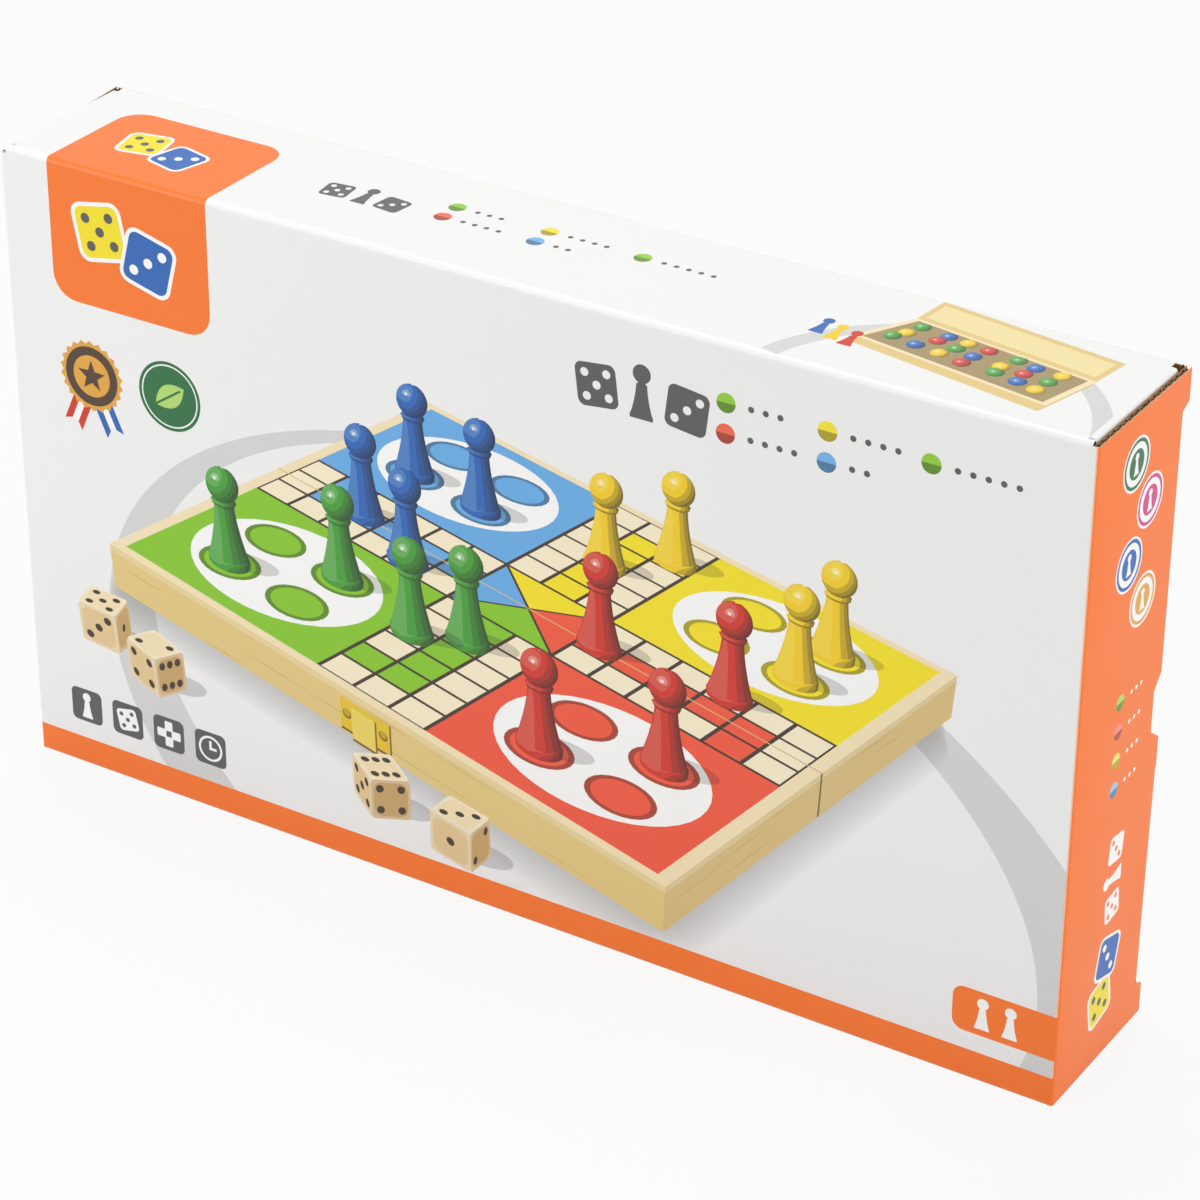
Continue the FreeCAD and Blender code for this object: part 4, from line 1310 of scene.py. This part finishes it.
def fluting_tree():
    """Node tree of a paper strip that waves along a line, as fluting does at a raw edge."""
    tree = shape_tree("fluting", (), ("Length", "Pitch", "Height", "Paper", "Depth"))
    wiring = Wiring(tree)
    sizes = wiring.node("NodeGroupInput").outputs
    end = wiring.node("ShaderNodeCombineXYZ", [("X", sizes["Length"])])
    line = wiring.node("GeometryNodeCurvePrimitiveLine", [("End", end.outputs["Vector"])])
    waves = wiring.sum("DIVIDE", sizes["Length"], sizes["Pitch"])
    points = wiring.node("GeometryNodeResampleCurve", [("Curve", line.outputs["Curve"]),
                                                       ("Count", wiring.sum("MULTIPLY", waves, FLUTE_STEPS))])
    place = wiring.node("GeometryNodeInputPosition").outputs["Position"]
    along = wiring.node("ShaderNodeSeparateXYZ", [("Vector", place)]).outputs["X"]
    turn = wiring.sum("MULTIPLY", wiring.sum("DIVIDE", along, sizes["Pitch"]), 2 * math.pi)
    rise = wiring.sum("MULTIPLY", wiring.sum("SINE", turn), wiring.sum("DIVIDE", sizes["Height"], 2))
    offset = wiring.node("ShaderNodeCombineXYZ", [("Y", rise)])
    wave = wiring.node("GeometryNodeSetPosition", [("Geometry", points.outputs["Curve"]),
                                                   ("Offset", offset.outputs["Vector"])])
    sides = [("Width", sizes["Paper"]), ("Height", sizes["Depth"])]
    section = wiring.node("GeometryNodeCurvePrimitiveQuadrilateral", sides)
    curves = [("Curve", wave.outputs["Geometry"]), ("Profile Curve", section.outputs["Curve"])]
    strip = wiring.node("GeometryNodeCurveToMesh", curves, Fill_Caps=True)
    finished(wiring, strip.outputs["Mesh"], fluting_paper())
    return tree


def finished(wiring, geometry, material):
    """Ends a tree in plain faces of one material."""
    plain = wiring.node("GeometryNodeRealizeInstances", [("Geometry", geometry)]).outputs["Geometry"]
    dressed = wiring.node("GeometryNodeSetMaterial", [("Geometry", plain)], Material=material)
    wiring.node("NodeGroupOutput", [("Geometry", dressed.outputs["Geometry"])])


def placed(name, data):
    """New object in the scene."""
    item = bpy.data.objects.new(name, data)
    bpy.context.scene.collection.objects.link(item)
    return item


def grown(tree, base, **sizes):
    """Plain mesh that a tree makes of a base mesh and its named sizes."""
    item = placed(tree.name, base)
    modifier = item.modifiers.new(tree.name, "NODES")
    modifier.node_group = tree
    for socket in tree.interface.items_tree:
        if socket.name in sizes:
            modifier[socket.identifier] = sizes[socket.name]
    mesh = bpy.data.meshes.new_from_object(item.evaluated_get(bpy.context.evaluated_depsgraph_get()))
    bpy.data.objects.remove(item)
    return mesh


def fluting(name, tree, runs):
    """Waving paper in the grooves of raw edges.

    Each run has its fold, and a start and an end with the sheet on its left.
    """
    low, high = [share * BOARD for share in LINER_SHARES]
    vertices, faces = [], []
    for fold, start, end in runs:
        first, way = complex(*start), complex(*end) - complex(*start)
        length = abs(way) - 2 * FLUTE_MARGIN
        way /= abs(way)
        mesh = grown(tree, bpy.data.meshes.new(name), Length=length, Pitch=FLUTE_PITCH,
                     Height=high - low - FLUTE_PAPER, Paper=FLUTE_PAPER, Depth=GROOVE - FLUTE_SINK)
        count = len(vertices)
        for vertex in mesh.vertices:
            along, wave, across = vertex.co
            place = first + way * complex(FLUTE_MARGIN + along, (GROOVE + FLUTE_SINK) / 2 + across)
            vertices.append(Vector(fold(place.real, place.imag, (low + high) / 2 + wave)))
        faces += [[count + i for i in face.vertices] for face in mesh.polygons]
        material = mesh.materials[0]
    return made(name, vertices, faces, [material] * len(faces))


def made(name, vertices, faces, looks, cap=None):
    """Object of a closed mesh with a material for each face, and a cap's look where its ends are closed."""
    mesh = bpy.data.meshes.new(name)
    mesh.from_pydata([point * MM for point in vertices], [], faces)
    slots = list(dict.fromkeys([*looks, cap or looks[0]]))
    for material in slots:
        mesh.materials.append(material)
    order = {material: i for i, material in enumerate(slots)}
    mesh.polygons.foreach_set("material_index", [order[material] for material in looks])
    shape = bmesh.new()
    shape.from_mesh(mesh)
    bmesh.ops.remove_doubles(shape, verts=shape.verts, dist=WELD * MM)
    ends = [edge for edge in shape.edges if edge.is_boundary]
    caps = bmesh.ops.holes_fill(shape, edges=ends)["faces"]
    for face in caps:
        face.material_index = order[cap or looks[0]]
    bmesh.ops.recalc_face_normals(shape, faces=shape.faces)
    shape.to_mesh(mesh)
    shape.free()
    mesh.shade_smooth()
    mesh.set_sharp_from_angle(angle=SMOOTH_ANGLE)
    return placed(name, mesh)


# End flaps


HINGE_Y = HINGE_RADIUS - HALF_DEPTH
TONGUE_RADIUS = 45.25
TONGUE_RUN = TONGUE_RADIUS * math.asin((CLOSURE_END - TUCK_BEND - TONGUE_TIP) / TONGUE_RADIUS)
TUCKED = (
    Path((CLOSURE_END, HINGE_Y), heading=90).run(CREASE - HINGE_Y + TUCK_LEAD)
    .run(TUCK_BEND * QUARTER, TUCK_BEND).run(TONGUE_RUN, TONGUE_RADIUS)
)
STRAIGHT = Path((CLOSURE_END, HINGE_Y), heading=90).run(HALF_DEPTH - HINGE_Y)

# Prints on an end: medals by place and ink, a column of discs with dots, and the sign and dice on their side
MEDALS = ((-3, 166, SEAL_GREEN), (6, 153, MAGENTA), (-3, 140, PAWN_BLUE), (6, 127, GOLD))
MEDAL_RADII, MEDAL_PAWN = (6.9, 6.3, 5.4, 3.8), 5.6
END_DISCS, END_DISC_STEP, END_DISC_RADIUS = (-2, 103), 8, 2.1
END_DISC_LIGHT, END_DISC_DARK = 0.35, 0.25
END_DOTS, END_DOT_START, END_DOT_PITCH, END_DOT_RADIUS = 3, 4, 2.6, 0.6
END_TURN = 52
END_SIGN, END_DICE = (-8, 46, 9), (((-34, 53), (-22.5, 50)), 10.5)


def closure_outline(side):
    """Flat end flap: plate, shoulders, tuck tongue and the finger notch across the crease."""
    crease, edge, tip = CREASE - HINGE_Y, STRAIGHT.length, TUCKED.length
    tongue = box(crease, TONGUE_LOW, tip, TONGUE_HIGH, TONGUE_CORNER, (0, 1, 1, 0))
    lower = [(0, CLOSURE_LOW), (edge, CLOSURE_LOW), (edge, SHOULDER - SHOULDER_SLANT), (crease, SHOULDER)]
    upper = [(a, HEIGHT - b) for a, b in reversed(lower)][:-1]
    upper += [(across, CLOSURE_HIGH - FLAP_SETBACK[side]) for across in (edge / 2, 0)]
    notch_end = TUCKED.length - TONGUE_RUN + THUMB_REACH - TUCK_BEND
    tab, deep = crease + TAB_REACH, crease - THUMB_DEPTH
    upper_end, lower_end = (deep, THUMB_HIGH - THUMB_SLOPE), (deep, THUMB_LOW + THUMB_FALL * THUMB_DEPTH)
    notch = [(tab + TAB_SLIT, TAB_LOW), (tab + TAB_SLIT, TONGUE_NOTCH_LOW), (notch_end, TONGUE_NOTCH_LOW),
             (notch_end, THUMB_HIGH), (crease, THUMB_HIGH), upper_end,
             *arc_corner(lower_end, upper_end, (tab, TAB_HIGH), THUMB_ROUND), (tab, TAB_HIGH), (tab, TAB_LOW)]
    return [lower + tongue + upper, notch]


def print_end(sheet):
    """Orange end: four round medals, a column of discs, the game's sign turned on its side and two dice."""
    for across, level, base in MEDALS:
        sheet.lay_discs(across, level, zip(MEDAL_RADII, (WHITE, base, WHITE, base)))
        sheet.lay(pawn_outline(across, level - MEDAL_PAWN / 2, MEDAL_PAWN), WHITE)
    for i, base in enumerate(FIELD_COLOURS):
        across, level = END_DISCS[0], END_DISCS[1] - END_DISC_STEP * i
        tones = (mixed(base, WHITE, END_DISC_LIGHT), mixed(base, BLACK, END_DISC_DARK))
        two_tone_disc(sheet, across, level, END_DISC_RADIUS, *tones)
        for dot in range(END_DOTS):
            place = END_DOT_START + END_DOT_PITCH * dot
            sheet.lay(circle(place, level, END_DOT_RADIUS, count=DOT_STEPS), WHITE)
    side = Sheet(lambda a, b: sheet.place(*turned([(a, b)], 0, END_TURN, QUARTER)[0]))
    game_sign(side, *END_SIGN, WHITE, ORANGE)
    dice_pair(side, *END_DICE)
    sheet.prints += side.prints


def closure_fold(side):
    """Fold of an end flap, right for a side of 1 and left for -1."""
    tab = CREASE - HINGE_Y + TAB_REACH + TAB_SLIT / 2

    def fold(distance, z, depth):
        tucked = TONGUE_LOW - SLIT / 2 < z < TONGUE_HIGH + SLIT / 2
        on_tab = TAB_LOW + TAB_STEP / 2 < z < THUMB_LOW and distance < tab
        x, y = (TUCKED if tucked and not on_tab else STRAIGHT).at(distance, depth)
        return side * x, y, z

    return fold


def closure_runs(side):
    """Level raw edges of an end flap and of its tongue."""
    fold, crease, tip = closure_fold(side), CREASE - HINGE_Y + FLUTE_PITCH, TUCKED.length - TONGUE_CORNER
    yield fold, (0, CLOSURE_LOW), (STRAIGHT.length, CLOSURE_LOW)
    upper = closure_outline(side)[0][-3:]
    yield from ((fold, start, end) for start, end in zip(upper, upper[1:]))
    yield fold, (crease, TONGUE_LOW), (tip, TONGUE_LOW)
    yield fold, (tip, TONGUE_HIGH), (crease, TONGUE_HIGH)


def bend_lines(path, low, high):
    """Lines across a sheet at the stations of its path."""
    return [((station, low), (station, high)) for station in path.stations()]


def closure(name, side):
    """Printed end flap with its tongue."""
    sheet = Sheet(lambda across, z: (side * across - HINGE_Y, z))
    print_end(sheet)
    creases = bend_lines(TUCKED, 0, HEIGHT)
    tab = CREASE - HINGE_Y + TAB_REACH + TAB_SLIT / 2
    creases.append(((0, TAB_LOW + TAB_STEP), (tab, TAB_LOW + TAB_STEP)))
    return folded_piece(f"{name}_closure_flap", closure_outline(side), sheet.prints, creases,
                        closure_fold(side), ORANGE, nose=(0, -1, 0), cap=None if side > 0 else ink(CARD))


def skin_path(start, level, end):
    """Round a fold, from the end of a panel to the outer face of its flap."""
    straight = Path((start, level), heading=0).run(end - HINGE_RADIUS - start)
    return straight.run(HINGE_RADIUS * QUARTER, HINGE_RADIUS)


def closure_skin(name, side):
    """Outer paper that runs on from the front panel, round the fold, to the end flap."""
    path = skin_path(FRONT_END, -HALF_DEPTH, CLOSURE_END)

    def fold(distance, z, depth):
        x, y = path.at(distance, depth)
        return side * x, y, z

    sheet = Sheet(lambda x, z: (side * x - FRONT_END, z))
    print_ring(sheet)
    white = SKIN_WHITE[side] * path.length
    orange = [(0, BAND_TALL), (LABEL_LOW, LABEL_HIGH)] if side > 0 else [(0, BAND_TALL)]
    # A thin pale orange line where the white meets the orange, on the fold's round: partly a painted
    # highlight, partly the ink cracked at the fold
    prints = sheet.prints + [(box(white, 0, path.length + 1, HEIGHT), PALE_ORANGE),
                             (box(white + SKIN_LINE, 0, path.length + 1, HEIGHT), ORANGE)]
    prints += [(box(-1, low, path.length + 1, high), ORANGE) for low, high in orange]
    creases = bend_lines(path, 0, HEIGHT)
    outline = box(0, CLOSURE_LOW, path.length, CLOSURE_HIGH - FLAP_SETBACK[side])
    return folded_piece(f"{name}_fold_skin", [outline], prints, creases, fold, CARD,
                        thickness=SKIN, edge=ink(CARD))


def dust_skin(name, side, upper):
    """Outer paper that runs on from the top or bottom panel, round the fold, to a dust flap."""
    path = skin_path(TOP_END, 0, DUST_END)

    def fold(distance, y, depth):
        x, rise = path.at(distance, depth)
        return side * x, y, HEIGHT - rise if upper else rise

    creases = bend_lines(path, -HALF_DEPTH, HALF_DEPTH)
    outline = box(0, DUST_FRONT, path.length, DUST_BACK)
    return folded_piece(f"{name}_dust_skin", [outline], [], creases, fold, CARD,
                        thickness=SKIN, edge=ink(CARD))


def dust_fold(side, upper):
    def fold(distance, y, depth):
        z = HEIGHT - HINGE_RADIUS - distance if upper else HINGE_RADIUS + distance
        return side * (DUST_END - depth), y, z

    return fold


def dust_outline():
    """Tapered flap, drawn from its hinge out, with rounded tips."""
    low, high = (0, DUST_FRONT), (0, DUST_BACK)
    near, far = (DUST_LENGTH, DUST_FRONT + DUST_FRONT_TAPER), (DUST_LENGTH, DUST_BACK - DUST_BACK_TAPER)
    return [low, *arc_corner(near, low, far, DUST_CORNER), *arc_corner(far, near, high, DUST_CORNER), high]


def dust_runs(side, upper):
    """Raw slanted edges of a dust flap."""
    outline = dust_outline()
    for start, end in (outline[:2], outline[-2:]):
        yield dust_fold(side, upper), start, end


def dust_flap(name, side, upper):
    """Flap behind the closure, white outside."""
    return folded_piece(f"{name}_dust", [dust_outline()], [], [], dust_fold(side, upper), CARD,
                        nose=(0, 0, 1 if upper else -1))


def arc_corner(corner, before, after, radius):
    """Points that round a corner between the lines to two other points."""
    spot = Vector(corner)
    back, on = (Vector(before) - spot).normalized(), (Vector(after) - spot).normalized()
    half = back.angle(on) / 2
    run = radius / math.tan(half)
    centre = spot + (back + on).normalized() * radius / math.sin(half)
    first, last = spot + back * run - centre, spot + on * run - centre
    turn = first.angle_signed(last)
    steps = [Matrix.Rotation(-turn * i / CORNER_STEPS, 2) @ first + centre for i in range(CORNER_STEPS + 1)]
    return [tuple(step) for step in steps]


# Game boards and dice


BOARD_ROUND = 1.0

# Pips of each face of a die, with the axis and the side that it looks along, and the paint in them
DIE_FACES = ((1, Z, 1), (6, Z, -1), (2, Y, -1), (5, Y, 1), (3, X, 1), (4, X, -1))
DIE_PIP_SPREAD = 0.25
PIP_SIDES = 20
PIP_PAINT_RADIUS, PIP_PAINT_DEPTH, PIP_SINK = 1.02, 0.3, 0.36


def game_board(half, side):
    """Board of one half of the case, with its half of the field printed on the outside."""
    node = f"{half}_board"
    low, high = reach(node, Z)
    faces = reach(node, Y)
    outer, thickness = faces[side > 0], faces[1] - faces[0]
    edges = (-GAME_HALF_X, low, GAME_HALF_X, high)

    def fold(x, z, depth):
        near = min(x - edges[0], z - edges[1], edges[2] - x, edges[3] - z, BOARD_ROUND)
        round_off = BOARD_ROUND - math.sqrt(max(BOARD_ROUND ** 2 - (BOARD_ROUND - near) ** 2, 0))
        return x, outer - side * max(depth, round_off), z

    sheet = Sheet(lambda x, y: (x, low + side * y))
    game_field(sheet, field_spot)
    creases = []
    for step in range(1, CORNER_STEPS + 1):
        gap = BOARD_ROUND * (1 - math.cos(QUARTER * step / CORNER_STEPS))
        for x in (edges[0] + gap, edges[2] - gap):
            creases.append(((x, low - 1), (x, high + 1)))
        for z in (low + gap, high - gap):
            creases.append(((edges[0] - 1, z), (edges[2] + 1, z)))
    return folded_piece(f"{half}_game_board", [box(*edges)], sheet.prints, creases, fold, WOOD,
                        thickness=thickness, edge=ink(WOOD_SIDE), back=ink(WOOD))


def pip_tree():
    """Node tree that sets a drop of paint in each drilled pip, square to its face."""
    tree = shape_tree("pips", ("Points",), ("Radius", "Depth"))
    wiring = Wiring(tree)
    inputs = wiring.node("NodeGroupInput").outputs
    facing_way = wiring.node("GeometryNodeInputNamedAttribute", Name="facing")
    facing_way.data_type = "FLOAT_VECTOR"
    turn = wiring.node("FunctionNodeAlignRotationToVector", [("Vector", facing_way.outputs["Attribute"])])
    drop = wiring.node("GeometryNodeMeshCylinder", [("Radius", inputs["Radius"]), ("Depth", inputs["Depth"])],
                       Vertices=PIP_SIDES)
    drops = wiring.node("GeometryNodeInstanceOnPoints", [("Points", inputs["Points"]),
                                                         ("Instance", drop.outputs["Mesh"]),
                                                         ("Rotation", turn.outputs["Rotation"])])
    finished(wiring, drops.outputs["Instances"], pip_paint())
    return tree


def painted_pips(dice):
    """Dark paint in the pips of all the dice, as one piece."""
    places, ways = [], []
    for die in dice:
        low, high = [Vector(corner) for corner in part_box(die)]
        middle, half = (low + high) / 2, (high.x - low.x) / 2
        for count, axis, side in DIE_FACES:
            for spot in PIPS[count]:
                steps = list(spot)
                steps.insert(axis, 0)
                way = Vector([side * (i == axis) for i in range(3)])
                spread = Vector(steps) * 2 * half * DIE_PIP_SPREAD
                places.append(middle + spread + way * (half - PIP_SINK * MM))
                ways.append(way)
    base = bpy.data.meshes.new("pip_places")
    base.from_pydata(places, [], [])
    facing_way = base.attributes.new("facing", "FLOAT_VECTOR", "POINT")
    facing_way.data.foreach_set("vector", [part for way in ways for part in way])
    mesh = grown(pip_tree(), base, Radius=PIP_PAINT_RADIUS * MM, Depth=PIP_PAINT_DEPTH * MM)
    mesh.name = "die_pips"
    return placed("die_pips", mesh)


# Pieces in the frame


def settle(piece, body, slot_name, *nodes):
    """Puts a piece on its body and hides the CAD nodes that it stands for. The slot name of its finish is not
    used.
    """
    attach(piece, body)
    if nodes:
        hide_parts(*nodes)


def bridge(skin):
    """Bakes a skin's place into its mesh."""
    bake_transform(skin)


def carton():
    waves = fluting_tree()

    def flute(body, runs):
        settle(fluting(f"{body}_fluting", waves, runs), body, "printed_board")

    settle(sleeve(), "carton", "printed_board", "front_panel", "top_panel", "back_panel", "bottom_panel")
    flute("carton", sleeve_runs())
    for name, side in (("right", 1), ("left", -1)):
        settle(closure(name, side), f"{name}_closure", "printed_board", f"{name}_closure", f"{name}_tongue")
        flute(f"{name}_closure", closure_runs(side))
        bridge(closure_skin(name, side))
        for level, upper in (("upper", True), ("lower", False)):
            flap = f"{name}_{level}"
            settle(dust_flap(flap, side, upper), f"{flap}_dust", "printed_board", f"{flap}_dust_flap")
            flute(f"{flap}_dust", dust_runs(side, upper))
            bridge(dust_skin(flap, side, upper))


def dress(names, material):
    """Gives CAD nodes their finish."""
    for name in names:
        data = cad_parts[name].data
        data.materials.clear()
        data.materials.append(material)


BRASS_WORDS = ("hinge_base", "hinge_lid", "hinge_pin", "hinge_screws", "clasp")


def wooden_case():
    """Finishes of the case and what lies in it."""
    along_x, along_z = pale_wood("lime_wood_level", X), pale_wood("lime_wood_upright", Z)
    plating, paper = brass(), leaflet_paper()
    for half, side in (("base", 1), ("lid", -1)):
        settle(game_board(half, side), "case", "printed_wood", f"{half}_board")
        dress([f"{half}_hinge_rail", f"{half}_clasp_rail"], along_x)
        dress([f"{half}_left_rail", f"{half}_right_rail"], along_z)
    for word in BRASS_WORDS:
        dress([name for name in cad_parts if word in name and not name.endswith("rail")], plating)
    dress(["rules_leaflet"], paper)
    dress(["glue_flap"], kraft(KRAFT, "glue_flap_board"))
    dice = [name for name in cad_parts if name.startswith("die")]
    dress(dice, pale_wood("die_wood", Z))
    settle(painted_pips(dice), "case", "die_wood")
    for word, base in zip(("green", "red", "yellow", "blue"), PAWN_COLOURS):
        pawns = [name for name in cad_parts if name.startswith(f"{word}_pawn")]
        dress(pawns, lacquer(f"{word}_lacquer", base))


# Stage


EYE = Vector((0.4897, -0.7670, 0.5945))
GAZE = Vector((-0.4616, 0.7393, -0.4903))
ACROSS = Vector((0.8469, 0.5318, 0.0046))
LENS = 123.85
SENSOR = 36
FLOOR_HALF = 4.0
FLOOR_GREY = colour("DEDEDE")
FLOOR_WHITE = 0.9
AMBIENT = 0.25
LAMP_SIZE = 1.0
LAMPS = (
    ("overhead_lamp", (-0.35, 0.45, 1.75), 16.5),
    ("front_lamp", (-0.7, -1.05, 0.6), 9.2),
    ("right_lamp", (1.3, -0.15, 0.55), 9.0),
)


def camera():
    data = bpy.data.cameras.new("camera")
    data.lens = LENS
    data.sensor_width = SENSOR
    eye = placed("camera", data)
    eye.location = EYE
    back = -GAZE.normalized()
    right = (ACROSS - back * ACROSS.dot(back)).normalized()
    eye.rotation_euler = Matrix((right, back.cross(right), back)).transposed().to_euler()
    bpy.context.scene.camera = eye


def floor():
    """Pale floor that is nearly white to the eye, and keeps the shadow of the object."""
    mesh = bpy.data.meshes.new("floor")
    corners = [(x * FLOOR_HALF, y * FLOOR_HALF, 0) for x, y in ((-1, -1), (1, -1), (1, 1), (-1, 1))]
    mesh.from_pydata(corners, [], [(0, 1, 2, 3)])
    finish = Finish("studio_floor", FLOOR_GREY, roughness=0.8)
    finish.polish(finish.noise(scale=4), low=0.75, high=0.85)
    share = finish.sum("MULTIPLY", finish.eye_rays(), FLOOR_WHITE)
    glow = finish.node("ShaderNodeEmission", Color=(1, 1, 1, 1), Strength=1.0)
    finish.blended(share, finish.shader.outputs["BSDF"], glow.outputs["Emission"], "Material Output")
    mesh.materials.append(finish.material)
    placed("floor", mesh)


def lamp(name, place, target, size, power):
    data = bpy.data.lights.new(name, "AREA")
    data.shape = "DISK"
    data.size = size
    data.energy = power
    item = placed(name, data)
    item.location = place
    item.rotation_euler = (Vector(target) - Vector(place)).to_track_quat("-Z", "Y").to_euler()


def studio():
    """White surroundings, with soft lamps above, in front and at the right."""
    world = bpy.data.worlds.new("studio")
    world.use_nodes = True
    bpy.context.scene.world = world
    wiring = Wiring(world.node_tree)
    ambient = wiring.nodes["Background"]
    ambient.inputs["Color"].default_value = (1, 1, 1, 1)
    ambient.inputs["Strength"].default_value = AMBIENT
    seen = wiring.node("ShaderNodeBackground", Color=(1, 1, 1, 1), Strength=1.0)
    around, seen = ambient.outputs["Background"], seen.outputs["Background"]
    wiring.blended(wiring.eye_rays(), around, seen, "World Output")
    for name, place, power in LAMPS:
        lamp(name, place, (0, 0, HEIGHT * MM / 2), LAMP_SIZE, power)


carton()
wooden_case()
camera()
floor()
studio()
bpy.context.scene.view_settings.view_transform = "Standard"
